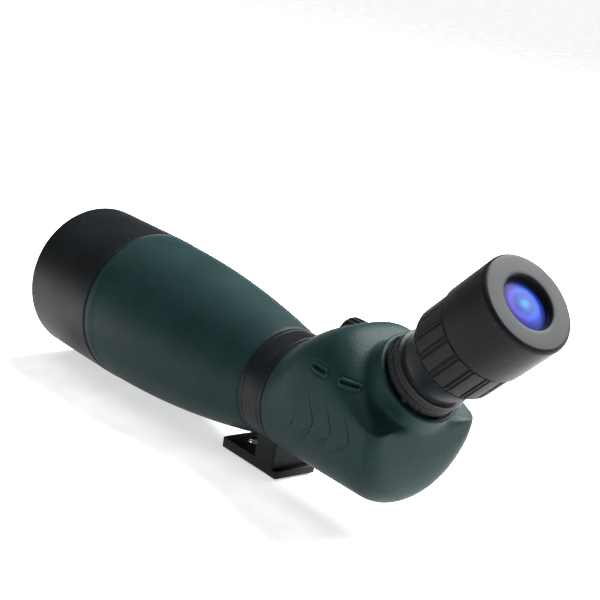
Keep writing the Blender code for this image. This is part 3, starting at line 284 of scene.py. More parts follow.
# ------------------------------------------------------------------------------- shape tools
def soften(points, radius, pieces=4):
    """A closed profile with its corners rounded as far as their sides allow."""
    result = []
    count = len(points)
    for i, point in enumerate(points):
        here = Vector(point)
        back = Vector(points[i - 1]) - here
        on = Vector(points[(i + 1) % count]) - here
        reach = min(radius, back.length * 0.45, on.length * 0.45)
        start, end = here + back.normalized() * reach, here + on.normalized() * reach
        for k in range(pieces + 1):
            t = k / pieces
            result.append(tuple(start * (1 - t) ** 2 + here * 2 * t * (1 - t) + end * t ** 2))
    return result


def divided(points, step):
    """A closed profile with its long sides cut into steps, for relief to follow."""
    result = []
    for i, point in enumerate(points):
        here, on = Vector(point), Vector(points[(i + 1) % len(points)])
        pieces = max(1, math.ceil((on - here).length / step))
        result += [tuple(here.lerp(on, k / pieces)) for k in range(pieces)]
    return result


def new_object(name, mesh, material, body, node=None, angle=38):
    obj = bpy.data.objects.new(name, mesh)
    bpy.context.scene.collection.objects.link(obj)
    mesh.materials.append(MATERIALS[material])
    mesh.shade_smooth()
    mesh.set_sharp_from_angle(angle=math.radians(angle))
    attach(obj, body)
    if node:
        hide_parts(node)
    return obj


def cleaned(mesh, axis=WORLD):
    """Joins doubled points, faces all outwards and moves the mesh to its axis."""
    shape = bmesh.new()
    shape.from_mesh(mesh)
    bmesh.ops.remove_doubles(shape, verts=shape.verts, dist=1e-7)
    bmesh.ops.dissolve_degenerate(shape, dist=1e-8, edges=shape.edges)
    bmesh.ops.recalc_face_normals(shape, faces=shape.faces)
    bmesh.ops.transform(shape, matrix=axis, verts=shape.verts)
    shape.to_mesh(mesh)
    shape.free()
    return mesh


def turned_mesh(name, profile, axis, steps=160, relief=None):
    """A closed profile of (radius, height) points turned about the axis. relief(angle, height,
    radius) is added to the radius, for ribs, knurls and grooves."""
    angle, radius = np.meshgrid(np.arange(steps) * 2 * math.pi / steps,
                                [p[0] for p in profile], indexing="ij")
    height = np.broadcast_to([p[1] for p in profile], radius.shape)
    if relief is not None:
        radius = radius + relief(angle, height, radius)
    points = np.stack((radius * np.cos(angle), radius * np.sin(angle), height), axis=-1)
    count = len(profile)
    i, j = np.meshgrid(np.arange(steps), np.arange(count), indexing="ij")
    after, on = (i + 1) % steps, (j + 1) % count
    faces = np.stack((i * count + j, after * count + j, after * count + on, i * count + on), -1)
    mesh = bpy.data.meshes.new(name)
    mesh.from_pydata(points.reshape(-1, 3).tolist(), [], faces.reshape(-1, 4).tolist())
    return cleaned(mesh, axis)


def turned(name, profile, axis, material, body, node=None, steps=160, relief=None):
    mesh = turned_mesh(name, profile, axis, steps, relief)
    return new_object(name, mesh, material, body, node)


def tube_profile(radius, bore, bottom, top):
    return [(radius, top), (radius, bottom), (bore, bottom), (bore, top)]


def bulge(radius, edge, sag, pieces=14):
    """Points of a lens's face, from its axis out to its edge."""
    return [(radius * i / pieces, edge + sag * (1 - (i / pieces) ** 2))
            for i in range(pieces + 1)]


def lens(name, radius, bottom, top, sag, axis, material, body, node):
    profile = bulge(radius, top, sag) + [(radius, bottom), (0, bottom)]
    return turned(name, profile, axis, material, body, node, steps=96)


def grooves(count, places, width, depth, low, high):
    """Relief for lengthwise grooves: at each place, in parts of a period, between two heights."""
    def relief(angle, height, radius):
        phase = angle * count / (2 * math.pi)
        cut = np.zeros_like(radius)
        for place in places:
            off = np.abs((phase - place + 0.5) % 1.0 - 0.5)
            cut = np.maximum(cut, np.clip(1.6 - off / width * 1.6, 0, 1))
        ends = np.clip((height - low) / (0.6 * MM), 0, 1) * np.clip((high - height) / (0.4 * MM),
                                                                    0, 1)
        outside = radius > radius.max() - 2.2 * MM
        return -depth * cut * ends * outside
    return relief


def knurl(count, pitch, depth, bands):
    """Relief for a diamond knurl within bands of height."""
    def relief(angle, height, radius):
        turn = angle * count
        slant = 2 * math.pi * height / pitch
        cut = np.maximum(np.cos(turn + slant), np.cos(turn - slant)) * 0.5 + 0.5
        inside = np.zeros_like(radius)
        for low, high in bands:
            inside = np.maximum(inside, (height > low) & (height < high))
        return -depth * cut ** 2 * inside * (radius > radius.max() - 0.5 * MM)
    return relief


def boolean(target, tool, operation):
    step = target.modifiers.new("step", "BOOLEAN")
    step.operation = operation
    step.solver = "EXACT"
    step.object = tool
    bake(target)
    bpy.data.objects.remove(tool, do_unlink=True)


def bake(obj):
    bpy.context.view_layer.update()
    evaluated = obj.evaluated_get(bpy.context.evaluated_depsgraph_get())
    mesh = bpy.data.meshes.new_from_object(evaluated)
    obj.modifiers.clear()
    obj.data = mesh


def loose(name, mesh):
    """A helper object that isn't a piece; it is used up while shaping one."""
    obj = bpy.data.objects.new(name, mesh)
    bpy.context.scene.collection.objects.link(obj)
    return obj


# ------------------------------------------------------------------------ sunshade and barrel
def sunshade():
    radius, rear, front = along("sunshade")
    bore = radius - 2 * MM
    outline = soften([(radius - 0.6 * MM, front), (radius, front - 1.2 * MM),
                      (radius, rear + 0.8 * MM), (radius - 0.7 * MM, rear), (bore, rear),
                      (bore, front - 1.5 * MM), (bore + 1.0 * MM, front)], 0.8 * MM)

    def ridges(angle, height, r):
        inside = (r < bore + 0.05 * MM) & (height > rear + 40 * MM) & (height < front - 3 * MM)
        return 0.25 * MM * np.sin(2 * math.pi * height / (1.4 * MM)) * inside

    turned("sunshade_tube", divided(outline, 0.35 * MM), BARREL, "satin_black", "sunshade",
           "sunshade", relief=ridges, steps=128)


def pear(inset, count=90):
    """Outline of the barrel's sleeve from front to back, set in by a distance."""
    rear, front = along("barrel_armour")[1:]
    front_radius = along("sunshade")[0] - 0.4 * MM
    rear_radius = along("housing_bulkhead")[0] + BULKHEAD_INSET
    points = []
    for i in range(count + 1):
        t = 1 - i / count
        radius = rear_radius + (front_radius - rear_radius) * (1 - (1 - t) ** 2)
        points.append((radius - inset, rear + (front - rear) * t))
    return points


def barrel_armour():
    """Pear-shaped rubber sleeve with a soft roll near its front end."""
    rear, front = along("barrel_armour")[1:]
    outer = []
    for radius, y in pear(0):
        roll = 0.35 * MM * math.exp(-((front - y - 4.5 * MM) / (3.0 * MM)) ** 2)
        outer.append((radius + roll, min(max(y, rear + 0.5 * MM), front - 0.5 * MM)))
    front_tip = (outer[0][0] - 0.5 * MM, front)
    rear_tip = (outer[-1][0] - 0.5 * MM, rear)
    inner = list(reversed(pear(2.0 * MM)))
    turned("barrel_sleeve", [front_tip] + outer + [rear_tip] + inner, BARREL, "green_rubber",
           "scope", "barrel_armour", steps=192)


def barrel_tube():
    """Tube under the armour: the sunshade slides on its front, the collar clamps its neck."""
    radius, rear, front = along("barrel_tube")
    armour_rear, armour_front = along("barrel_armour")[1:]
    wall, neck, slim, step = 1.6 * MM, 24.0 * MM, 20.0 * MM, -22.0 * MM
    outside = [(radius - 0.4 * MM, front), (radius, front - 0.4 * MM), (radius, armour_front)]
    outside += pear(2.3 * MM) + [(neck, armour_rear), (neck, step), (slim, step), (slim, rear)]
    inside = [(slim - wall, rear), (slim - wall, step + wall), (neck - wall, step + wall),
              (neck - wall, armour_rear + wall)]
    inside += list(reversed(pear(2.3 * MM + wall)[:-2]))
    inside += [(radius - wall, armour_front + wall), (radius - wall, front)]
    turned("barrel_inner_tube", outside + inside, BARREL, "shell_plastic", "scope",
           "barrel_tube", steps=160)


def objective():
    """What shows inside the sunshade: the cell's flange, its retaining ring and the lens."""
    radius, rear, front = along("objective_cell")
    bore = along("objective_retainer")[0] + 0.3 * MM
    flange = 1.5 * MM
    outline = soften([(radius, front), (radius, front - flange), (bore + 1.1 * MM, front - flange),
                      (bore + 1.1 * MM, rear), (bore - 1.3 * MM, rear),
                      (bore - 1.3 * MM, rear + flange), (bore, rear + flange), (bore, front)],
                     0.3 * MM)
    turned("objective_cell_ring", outline, BARREL, "anodised_black", "scope", "objective_cell")

    radius, rear, front = along("objective_retainer")
    inner = radius - 1.0 * MM

    def notches(angle, height, r):
        hit = (np.abs(np.sin(angle)) < 0.03) & (height > front - 1.2 * MM) & (r < inner + 0.6 * MM)
        return 0.7 * MM * hit

    turned("objective_retaining_ring",
           divided(soften(tube_profile(radius, inner, rear, front), 0.25 * MM), 0.3 * MM),
           BARREL, "anodised_black", "scope", "objective_retainer", steps=256, relief=notches)
    radius, rear, front = along("objective_front_lens")
    sag = 2.4 * MM
    profile = (bulge(radius, front - sag, sag)
               + list(reversed(bulge(radius, rear + sag, -sag))))
    turned("objective_lens_front", profile, BARREL, "objective_coating", "scope",
           "objective_front_lens", steps=128)


# ---------------------------------------------------------------------------- collar and foot
def bevelled_box(low, high, width, segments=4):
    shape = bmesh.new()
    bmesh.ops.create_cube(shape, size=1.0)
    size = Vector(high) - Vector(low)
    bmesh.ops.scale(shape, vec=size, verts=shape.verts)
    bmesh.ops.translate(shape, vec=Vector(low) + size / 2, verts=shape.verts)
    bmesh.ops.bevel(shape, geom=shape.edges[:], offset=width, segments=segments, affect="EDGES",
                    profile=0.5)
    mesh = bpy.data.meshes.new("box")
    shape.to_mesh(mesh)
    shape.free()
    return mesh


def collar_and_foot():
    """Collar ring, post and foot plate of one casting."""
    radius = along("housing_bulkhead")[0] + BULKHEAD_INSET
    low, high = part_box("collar_foot")
    rear, front = -22.0 * MM, -4.2 * MM
    groove = (rear + front) / 2
    outline = soften([(radius, front), (radius, groove + 6.2 * MM),
                      (radius - 0.35 * MM, groove + 5.9 * MM), (radius, groove + 5.6 * MM),
                      (radius, groove - 5.6 * MM), (radius - 0.35 * MM, groove - 5.9 * MM),
                      (radius, groove - 6.2 * MM), (radius, rear),
                      (radius - 4.7 * MM, rear), (radius - 4.7 * MM, front)], 0.7 * MM)
    ring = loose("ring", turned_mesh("ring", outline, BARREL, 160))
    half = 13.0 * MM
    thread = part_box("foot_insert")
    thread_y = (thread[0][1] + thread[1][1]) / 2
    pieces = [bevelled_box((-half, -19.5 * MM, 0), (half, high[1], 6.0 * MM), 0.8 * MM),
              bevelled_box((-half, low[1], 0), (half, -16.0 * MM, 4.2 * MM), 0.6 * MM),
              bevelled_box((-half, -19.5 * MM, 3 * MM), (half, -4.8 * MM, 20.0 * MM), 0.9 * MM)]
    plate = loose("plate", pieces[0])
    for mesh in pieces[1:]:
        boolean(plate, loose("tool", mesh), "UNION")
    hole = turned_mesh("hole", [(4.6 * MM, 8 * MM), (4.6 * MM, -2 * MM), (0, -2 * MM),
                                (0, 8 * MM)], Matrix.Translation((0, thread_y, 0)), 64)
    boolean(plate, loose("tool", hole), "DIFFERENCE")
    bore = turned_mesh("bore", [(radius - 4.6 * MM, 0), (radius - 4.6 * MM, -30 * MM),
                                (0, -30 * MM), (0, 0)], BARREL, 96)
    boolean(plate, loose("tool", bore), "DIFFERENCE")
    boolean(ring, plate, "UNION")
    mesh = cleaned(ring.data)
    bpy.data.objects.remove(ring, do_unlink=True)
    new_object("collar_and_foot", mesh, "satin_black", "scope", "collar_foot", angle=30)

    r_out, depth = (thread[1][0] - thread[0][0]) / 2, thread[1][2]
    r_in = r_out - 1.1 * MM
    pitch = 1.27 * MM

    def threads(angle, height, r):
        wave = 0.5 + 0.5 * np.cos(2 * math.pi * height / pitch - angle)
        inner = (r < r_in + 0.2 * MM) & (height > 0.3 * MM) & (height < depth - 0.3 * MM)
        return 0.45 * MM * wave * inner

    profile = divided(soften(tube_profile(r_out, r_in, 0, depth), 0.25 * MM), 0.15 * MM)
    turned("tripod_insert", profile, Matrix.Translation((0, thread_y, 0)), "bright_steel",
           "scope", "foot_insert", steps=72, relief=threads)


# ------------------------------------------------------------------------------ prism housing
FRONT = 38.2 * MM
BACK = 45.8 * MM
HALF_WIDTH = 34.0 * MM
ROUND = 29.0 * MM
LIFT = 16.0 * MM
EDGE = 6.5 * MM
LEDGE = 17.0 * MM
BELLY = 25.0 * MM
BELLY_HEIGHT = 5.6 * MM
SLOPE = 0.71
BROW = 15.6 * MM
FACE = 43.7 * MM
BOSS_RADIUS = 23.0 * MM
BOSS_TOP = 52.3 * MM
BOSS_BORE = 20.5 * MM


def housing_row(y, angles):
    """One closed section of the housing, as in its CAD solid."""
    grow = np.clip((FRONT - y) / (30 * MM), 0, 1)
    grow = grow * grow * (3 - 2 * grow)
    rise = np.clip((-BELLY - y) / (BACK - BELLY), 0, 1)
    depth = BELLY_HEIGHT + (ROUND - BELLY_HEIGHT) * math.sqrt(1 - rise * rise)
    rising = ROUND + SLOPE * (FRONT - y)
    falling = y + FACE * math.sqrt(2)
    height = (rising + falling - math.hypot(rising - falling, BROW * grow)) / 2
    past = max(-(BACK - EDGE) - y, 0.0)
    shrink = EDGE - math.sqrt(max(EDGE * EDGE - past * past, 0.0))
    height = max(height, LEDGE) - shrink / 4
    lift = min(LIFT * grow, height - MM)
    half_width = ROUND + (HALF_WIDTH - ROUND) * grow - shrink
    across, up = np.cos(angles), np.sin(angles)
    reach = np.where(up > 0, height - lift, depth + lift - shrink)
    power = 2 + np.where(up > 0, 0.8, 0.1) * grow
    radius = ((np.abs(across) / half_width) ** power + (np.abs(up) / reach) ** power) ** (-1 / power)
    return np.stack((radius * across, np.full_like(angles, y), lift + radius * up), -1)


def housing_blank():
    """The housing's smooth outside as one closed mesh, about the crossing of the axes."""
    angles = np.arange(200) * 2 * math.pi / 200
    stations = list(np.linspace(FRONT, -(BACK - EDGE), 90))
    stations += [-(BACK - EDGE) - EDGE * math.sin(math.radians(a)) for a in range(6, 91, 6)]
    rows = [housing_row(y, angles) for y in stations]
    count = len(angles)
    points = np.concatenate(rows + [rows[0].mean(0)[None], rows[-1].mean(0)[None]])
    faces = []
    for i in range(len(rows) - 1):
        for j in range(count):
            k = (j + 1) % count
            faces.append((i * count + j, i * count + k, (i + 1) * count + k, (i + 1) * count + j))
    first, last = len(points) - 2, len(points) - 1
    base = (len(rows) - 1) * count
    for j in range(count):
        k = (j + 1) % count
        faces.append((first, k, j))
        faces.append((last, base + j, base + k))
    mesh = bpy.data.meshes.new("housing_blank")
    mesh.from_pydata(points.tolist(), [], faces)
    return cleaned(mesh, Matrix.Translation(CROSSING))


def coordinates(mesh):
    points = np.empty(len(mesh.vertices) * 3, np.float32)
    mesh.vertices.foreach_get("co", points)
    return points.reshape(-1, 3).astype(float)


def set_coordinates(mesh, points):
    mesh.vertices.foreach_set("co", points.astype(np.float32).ravel())
    mesh.update()


def relax(mesh, weight, rounds):
    """Smooths a mesh where weight is above nought."""
    edges = np.empty(len(mesh.edges) * 2, np.int64)
    mesh.edges.foreach_get("vertices", edges)
    a, b = edges.reshape(-1, 2).T
    points = coordinates(mesh)
    degree = np.bincount(a, minlength=len(points)) + np.bincount(b, minlength=len(points))
    for _ in range(rounds):
        total = np.zeros_like(points)
        for axis in range(3):
            total[:, axis] = (np.bincount(a, points[b, axis], len(points))
                              + np.bincount(b, points[a, axis], len(points)))
        mean = total / np.maximum(degree, 1)[:, None]
        points += 0.5 * weight[:, None] * (mean - points)
    set_coordinates(mesh, points)


def curve_through(points, pieces=14):
    """A smooth path through a few points, as a Catmull-Rom spline."""
    points = [np.array(p) for p in points]
    padded = [2 * points[0] - points[1]] + points + [2 * points[-1] - points[-2]]
    path = []
    for p0, p1, p2, p3 in zip(padded, padded[1:], padded[2:], padded[3:]):
        for t in np.arange(pieces) / pieces:
            path.append(0.5 * (2 * p1 + (p2 - p0) * t + (2 * p0 - 5 * p1 + 4 * p2 - p3) * t ** 2
                               + (3 * p1 - p0 - 3 * p2 + p3) * t ** 3))
    path.append(points[-1])
    return np.array(path)


def laid_on(path, places):
    """Gives each (y, z) point of a path the outward place of the surface point nearest to it."""
    laid = []
    for point in path:
        nearest = np.argmin(np.linalg.norm(places[:, 1:] - point, axis=1))
        laid.append((places[nearest, 0], *point))
    return np.array(laid)


def distance_to(path, places):
    """Distance of each place from a path, and how far along it the nearest point lies."""
    best = np.full(len(places), 1.0)
    share = np.zeros(len(places))
    for i, (start, end) in enumerate(zip(path, path[1:])):
        run = end - start
        t = np.clip(((places - start) @ run) / max(run @ run, 1e-12), 0, 1)
        gap = np.linalg.norm(places - start - t[:, None] * run, axis=1)
        nearer = gap < best
        best = np.where(nearer, gap, best)
        share = np.where(nearer, (i + t) / (len(path) - 1), share)
    return best, share


# Moulded relief on the sides, as (y, z) from the crossing of the axes.
WAVE_COUNT = 3
WAVE_PITCH = 12.7 * MM                      # from one wave back to the next
WAVE_START = np.array((0.4, 22.3)) * MM     # upper end of the first wave
WAVE_LEAN = 5.8 * MM                        # each leans back by this down to its bend
BEND_HEIGHT = 6.8 * MM
TAIL_REACH = np.array((5.0, -3.0)) * MM     # end of the first tail, ahead of the wave's start
TAIL_GROWTH = np.array((3.5, -1.7)) * MM    # by which each next tail reaches further
KNEE_SHARE = 0.42                           # of the way from the bend to the tail's end
KNEE_SAG = 1.6 * MM
ECHO_SHIFT = np.array((0.5, -3.2)) * MM     # from a tail to its echo below it
PIP_COUNT = 2
PIP_MIDDLE = np.array((-3.5, 32.2)) * MM    # middle of the first pip
PIP_STEP = np.array((-18.0, -1.6)) * MM
PIP_LENGTH = 7.0 * MM
WAVE_DEPTH = 0.50 * MM
PIP_HEIGHT = 0.90 * MM
PIP_HALF_GAP = 1.35 * MM


def wave_paths():
    """Waves that lean back to a bend and end in a tail, and echoes of the tails below them. The
    foremost echo lies one pitch ahead of the first wave."""
    paths = []
    for i in range(-1, WAVE_COUNT):
        start = WAVE_START - (i * WAVE_PITCH, 0)
        bend = np.array((start[0] - WAVE_LEAN, BEND_HEIGHT))
        end = (start[0], 0) + TAIL_REACH + max(i, 0) * TAIL_GROWTH
        knee = bend + KNEE_SHARE * (end - bend) - (0, KNEE_SAG)
        if i >= 0:
            paths.append(curve_through([start, bend, knee, end]))
        if i < WAVE_COUNT - 1:
            paths.append(curve_through([bend, knee, end]) + ECHO_SHIFT)
    return paths


def pip_paths():
    """Short straight lines in a row, along which the pips lie."""
    along_row = PIP_LENGTH * PIP_STEP / np.linalg.norm(PIP_STEP)
    shares = np.linspace(-0.5, 0.5, 5)[:, None]
    return [PIP_MIDDLE + i * PIP_STEP + shares * along_row for i in range(PIP_COUNT)]


def side_relief(places):
    """Height of the moulded relief on the housing's sides: wavy grooves, and two pips, each a
    pair of short ridges with a slot between them."""
    lift = np.zeros(len(places))
    nearest = np.full(len(places), 1.0)
    for path in wave_paths():
        gap, share = distance_to(laid_on(path, places), places)
        fade = np.clip(np.minimum(share, 1 - share) / 0.25, 0, 1)
        lift -= WAVE_DEPTH * fade * np.exp(-(gap / (0.45 * MM)) ** 2)
        nearest = np.minimum(nearest, gap)
    for path in pip_paths():
        gap, _ = distance_to(laid_on(path, places), places)
        lift += PIP_HEIGHT * np.exp(-((gap - PIP_HALF_GAP) / (0.55 * MM)) ** 2)
        lift -= PIP_HEIGHT * np.exp(-(gap / (0.55 * MM)) ** 2)
        lift -= 0.25 * MM * np.exp(-((gap - 2.7 * MM) / (0.5 * MM)) ** 2)
        nearest = np.minimum(nearest, gap)
    return lift, nearest


def outward(points):
    """Points as (distance from the middle plane, y, z) from the crossing of the axes."""
    local = points - np.array(CROSSING)
    local[:, 0] = np.abs(local[:, 0])
    return local


def refine_near(mesh, limit):
    """Halves the edges that lie near the relief, so that it has points enough to follow."""
    places = coordinates(mesh)
    on_side = np.abs(places[:, 0]) > 17 * MM
    near = np.zeros(len(places), bool)
    near[on_side] = side_relief(outward(places[on_side]))[1] < limit
    shape = bmesh.new()
    shape.from_mesh(mesh)
    shape.verts.ensure_lookup_table()
    edges = [e for e in shape.edges if near[e.verts[0].index] and near[e.verts[1].index]]
    bmesh.ops.subdivide_edges(shape, edges=edges, cuts=1, use_grid_fill=True)
    shape.to_mesh(mesh)
    shape.free()


def housing():
    """Green rubber skin of the prism housing: smooth shell, raised eyepiece rim that flows out
    of it, the knob's pocket, and the relief moulded into its sides."""
    skin = loose("skin", housing_blank())
    radius, rear, _ = along("knob_grip")
    radius += 0.9 * MM
    pocket = turned_mesh("pocket", [(radius, 0), (radius, rear - 1.0 * MM),
                                    (0, rear - 1.0 * MM), (0, 0)], KNOB, 96)
    boolean(skin, loose("tool", pocket), "DIFFERENCE")
    rim = soften([(BOSS_RADIUS, BOSS_TOP), (BOSS_RADIUS, 32 * MM), (BOSS_BORE, 32 * MM),
                  (BOSS_BORE, BOSS_TOP)], 0.6 * MM)
    rim_mesh = turned_mesh("rim", rim, EYE, 160)
    shape = bmesh.new()
    shape.from_mesh(skin.data)
    shape.from_mesh(rim_mesh)
    shape.to_mesh(skin.data)
    shape.free()
    remesh = skin.modifiers.new("remesh", "REMESH")
    remesh.mode = "VOXEL"
    remesh.voxel_size = 0.6 * MM
    bake(skin)
    mesh = skin.data

    points = coordinates(mesh)
    everywhere = np.ones(len(points))
    ends = points[:, 1] > CROSSING.y + FRONT - 1.5 * MM
    relax(mesh, everywhere * ~ends, 4)
    local = (points - np.array(CROSSING)) @ np.array(EYE.to_3x3())
    off = np.hypot(local[:, 0], local[:, 1])
    low = np.clip((BOSS_TOP - 1.8 * MM - local[:, 2]) / (1.0 * MM), 0, 1)
    blend = (off > BOSS_RADIUS - 0.9 * MM) * np.clip((31 * MM - off) / (4 * MM), 0, 1) * low
    blend *= local[:, 2] > 30 * MM
    relax(mesh, blend, 60)

    refine_near(mesh, 3.4 * MM)
    refine_near(mesh, 2.6 * MM)
    points = coordinates(mesh)
    normals = np.empty(len(points) * 3, np.float32)
    mesh.vertices.foreach_get("normal", normals)
    normals = normals.reshape(-1, 3)
    on_side = np.abs(points[:, 0]) > 17 * MM
    lift, _ = side_relief(outward(points[on_side]))
    points[on_side] += normals[on_side] * lift[:, None]
    set_coordinates(mesh, points)
    bpy.data.objects.remove(skin, do_unlink=True)
    new_object("housing_skin", mesh, "green_rubber", "scope", "housing_armour", angle=50)


def focus_knob():
    """Rubber grip ribbed lengthwise over a metal core, with a dished cap."""
    radius, rear, front = along("knob_grip")
    core = radius - 2 * MM
    ribs = grooves(20, (0.0,), 0.24, 0.75 * MM, rear + 0.8 * MM, front - 1.2 * MM)
    outline = soften([(radius - 1.3 * MM, front), (radius, front - 1.4 * MM),
                      (radius, rear + 0.7 * MM), (radius - 0.6 * MM, rear), (core, rear),
                      (core, front)], 0.6 * MM)
    turned("knob_rubber_grip", divided(outline, 0.5 * MM), KNOB, "black_rubber", "focus_knob",
           "knob_grip", steps=240, relief=ribs)
    radius, rear, front = along("knob_cap")
    dish = [(0, front - 0.25 * MM), (radius * 0.55, front - 0.2 * MM),
            (radius * 0.80, front - 0.02 * MM), (radius - 0.3 * MM, front),
            (radius, front - 0.25 * MM), (radius, rear), (0, rear)]
    turned("knob_end_cap", dish, KNOB, "satin_black", "focus_knob", "knob_cap", steps=96)


# ----------------------------------------------------------------------------------- eyepiece
def eyepiece_base():
    """Knurled lock ring, and the knurled and flared barrel above it."""
    radius, bottom, top = up_the_eye("lock_ring")
    bore = radius - 5.0 * MM
    outline = divided(soften(tube_profile(radius, bore, bottom, top), 0.35 * MM), 0.2 * MM)
    turned("lock_ring_knurled", outline, EYE, "anodised_black", "eyepiece_lock", "lock_ring",
           steps=480, relief=knurl(110, 1.9 * MM, 0.42 * MM, [(bottom + 0.5 * MM,
                                                               top - 0.5 * MM)]))
    base = top + 0.3 * MM
    shelf = base + 4.3 * MM
    zoom_bottom = up_the_eye("zoom_grip")[1]
    flare = []
    for i in range(25):
        t = i / 24
        flare.append(((18.3 + 4.0 * (1 - t) ** 1.7) * MM,
                      zoom_bottom - 0.3 * MM + (shelf + 0.5 * MM - zoom_bottom) * t))
    outline = flare + [(18.3 * MM, shelf), (radius - 0.2 * MM, shelf), (radius, shelf - 0.3 * MM)]
    outline += [(radius, shelf - 0.3 * MM - k * 0.2 * MM) for k in range(1, 19)]
    outline += [(radius, base + 0.3 * MM), (radius - 0.3 * MM, base), (14.9 * MM, base),
                (14.9 * MM, bottom), (12.0 * MM, bottom), (12.0 * MM, base + 0.7 * MM),
                (14.3 * MM, base + 0.7 * MM), (14.3 * MM, zoom_bottom - 0.3 * MM)]
    knurls = knurl(110, 1.9 * MM, 0.42 * MM, [(base + 0.5 * MM, shelf - 0.5 * MM)])

    def on_base(angle, height, r):
        return knurls(angle, height, r + (height < shelf + 0.1 * MM) * (22.3 * MM - radius))

    turned("eyepiece_barrel_flared", outline, EYE, "anodised_black", "scope", "eyepiece_barrel",
           steps=480, relief=on_base)


def zoom_grip():
    """Ribbed rubber zoom grip: wide lands between pairs of narrow grooves."""
    radius, bottom, top = up_the_eye("zoom_grip")
    bore = radius - 1.8 * MM
    outline = soften([(radius - 0.2 * MM, top), (radius, top - 0.4 * MM),
                      (radius, bottom + 1.5 * MM), (radius - 0.9 * MM, bottom), (bore, bottom),
                      (bore, top)], 0.5 * MM)
    cuts = grooves(16, (-0.11, 0.11), 0.085, 1.0 * MM, bottom + 0.6 * MM, top + 1.0 * MM)
    turned("zoom_rubber_grip", divided(outline, 0.5 * MM), EYE, "black_rubber", "zoom_ring",
           "zoom_grip", steps=640, relief=cuts)


def eyecup():
    """Twist-up eyecup: rolled outer edge, flat face and a stepped hole."""
    radius, bottom, top = up_the_eye("eyecup_cover")
    bore, hole, face = radius - 1.6 * MM, 13.0 * MM, 3.0 * MM
    outline = [(hole + 0.9 * MM, top - 0.05 * MM), (hole + 2.2 * MM, top)]
    for i in range(13):
        a = math.radians(90 - 7.5 * i)
        outline.append((radius - 2.2 * MM * (1 - math.cos(a)), top - 2.2 * MM * (1 - math.sin(a))))
    outline += [(radius, bottom + 0.5 * MM), (radius - 0.4 * MM, bottom), (bore, bottom),
                (bore, top - face), (hole, top - face), (hole, top - 0.7 * MM),
                (hole + 0.3 * MM, top - 0.25 * MM)]
    turned("eyecup_rubber_cover", outline, EYE, "cup_rubber", "eyecup", "eyecup_cover",
           steps=192)


def eye_lens():
    """Stepped and ridged rim round the eye lens, whose coating's reflection is painted."""
    low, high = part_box("eye_lens_retainer")
    radius = (high[0] - low[0]) / 2
    bottom, top = up_the_eye("eye_lens_retainer")[1:]

    def steps_in(angle, height, r):
        inner = (r < radius - 0.2 * MM) & (height > bottom + 0.3 * MM) & (height < top - 0.1 * MM)
        return 0.18 * MM * np.sign(np.sin(2 * math.pi * height / (0.9 * MM))) * inner

    outline = divided([(radius, top), (radius, bottom), (radius - 1.4 * MM, bottom),
                       (radius - 1.4 * MM, bottom + 0.9 * MM), (radius - 0.7 * MM, top)],
                      0.15 * MM)
    turned("eye_lens_rim", outline, EYE, "baffle_black", "scope", "eye_lens_retainer",
           relief=steps_in, steps=128)
    radius, bottom, top = up_the_eye("eye_lens")
    edge = up_the_eye("eye_lens_retainer")[1] - 0.3 * MM
    lens("eye_lens_painted_reflection", radius, edge - 2.5 * MM, edge, 1.6 * MM, EYE, "eye_coating",
         "scope", "eye_lens")


def carried_over():
    """CAD nodes that keep their shape get the finish of their slot."""
    for part in frame["record"]["subparts"]:
        obj = frame["nodes"][part["node"]]
        blackened = part["node"].startswith("flange_screw")
        material = MATERIALS["anodised_black" if blackened else part["material_slot"]]
        if not obj.material_slots:
            obj.data.materials.append(material)
        for slot in obj.material_slots:
            slot.material = material


# -------------------------------------------------------------------- floor, lights and camera
def floor():
    mesh = bpy.data.meshes.new("floor")
    half = 12.0
    mesh.from_pydata([(-half, -half, -MM), (half, -half, -MM), (half, half, -MM),
                      (-half, half, -MM)], [], [(0, 1, 2, 3)])
    obj = bpy.data.objects.new("floor", mesh)
    bpy.context.scene.collection.objects.link(obj)
    made = finish("pale_floor", (0.88, 0.88, 0.88), 0.9, 40 * MM, 0.1 * MM, wear=0.0,
                  specular=0.05, dust=(0.9, 0.9, 0.9))
    made.node_tree.nodes["Principled BSDF"].inputs["Emission Color"].default_value = (1, 1, 1, 1)
    made.node_tree.nodes["Principled BSDF"].inputs["Emission Strength"].default_value = 0.56
    mesh.materials.append(made)


def area_light(name, direction, distance, size, power):
    """A square softbox in a direction from the scope, facing it."""
    light = bpy.data.lights.new(name, "AREA")
    light.shape = "SQUARE"
    light.size = size
    light.energy = power
    obj = bpy.data.objects.new(name, light)
    target = Vector((0, -0.03, 0.06))
    away = Vector(direction).normalized()
    obj.location = target + away * distance
    obj.rotation_euler = away.to_track_quat("Z", "Y").to_euler()
    bpy.context.scene.collection.objects.link(obj)


def sun(name, direction, strength, softness):
    light = bpy.data.lights.new(name, "SUN")
    light.energy = strength
    light.angle = math.radians(softness)
    obj = bpy.data.objects.new(name, light)
    obj.rotation_euler = Vector(direction).to_track_quat("Z", "Y").to_euler()
    bpy.context.scene.collection.objects.link(obj)


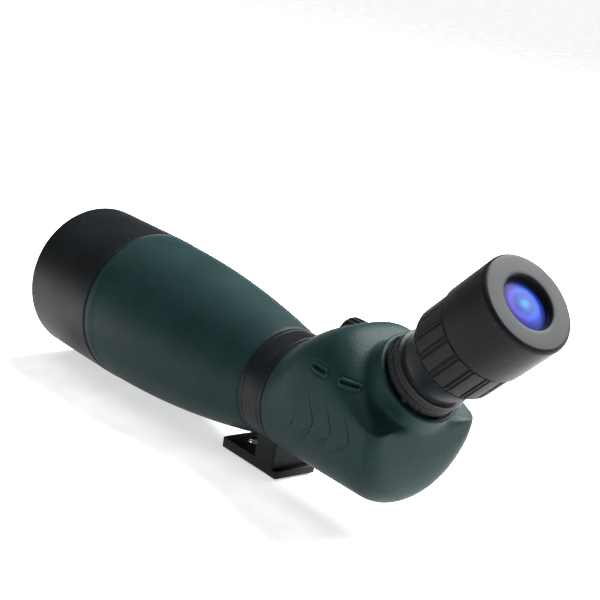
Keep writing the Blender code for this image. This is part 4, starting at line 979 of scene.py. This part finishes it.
def lighting():
    """A white room whose light comes mostly from above; the sides of the scope stay dark."""
    world = bpy.data.worlds.new("studio")
    world.use_nodes = True
    tree = world.node_tree
    shader = tree.nodes["Background"]
    shader.inputs["Strength"].default_value = 1.0
    place = add(tree, "ShaderNodeTexCoord").outputs["Generated"]
    split = add(tree, "ShaderNodeSeparateXYZ")
    tree.links.new(place, split.inputs[0])
    glow = ramp(tree, split.outputs["Z"], 0.0, 1.0, 0.08, 0.30)
    tree.links.new(tinted(tree, glow, (0, 0, 0), (0.95, 0.99, 1.0)), shader.inputs["Color"])
    bpy.context.scene.world = world
    sun("overhead", (-0.25, 0.35, 1.0), 0.7, 40)
    area_light("face_softbox", (0.62, -0.10, 0.78), 1.2, 1.0, 72)
    area_light("left_softbox", (-1.0, 0.10, 0.30), 1.3, 0.6, 3)
    area_light("rear_softbox", (0.90, -0.40, 0.20), 1.3, 0.8, 4)


def camera():
    """The camera stands left of and behind the scope, looks down a little and leans over."""
    azimuth, elevation, roll = (math.radians(a) for a in (-41.6, 15.89, 8.71))
    back = Vector((math.sin(azimuth) * math.cos(elevation),
                   -math.cos(azimuth) * math.cos(elevation), math.sin(elevation)))
    level = Vector((math.cos(azimuth), math.sin(azimuth), 0))
    upright = back.cross(level)
    right = level * math.cos(roll) + upright * math.sin(roll)
    up = upright * math.cos(roll) - level * math.sin(roll)
    lens_data = bpy.data.cameras.new("camera")
    lens_data.lens = 87.44
    lens_data.sensor_width = 36.0
    lens_data.clip_start = 0.01
    obj = bpy.data.objects.new("camera", lens_data)
    obj.matrix_world = Matrix.Translation((-0.4632, -0.5285, 0.2874)) @ Matrix(
        (right, up, back)).transposed().to_4x4()
    bpy.context.scene.collection.objects.link(obj)
    bpy.context.scene.camera = obj


carried_over()
sunshade()
barrel_armour()
barrel_tube()
objective()
collar_and_foot()
housing()
focus_knob()
eyepiece_base()
zoom_grip()
eyecup()
eye_lens()
floor()
lighting()
camera()
bpy.context.scene.view_settings.view_transform = "Standard"
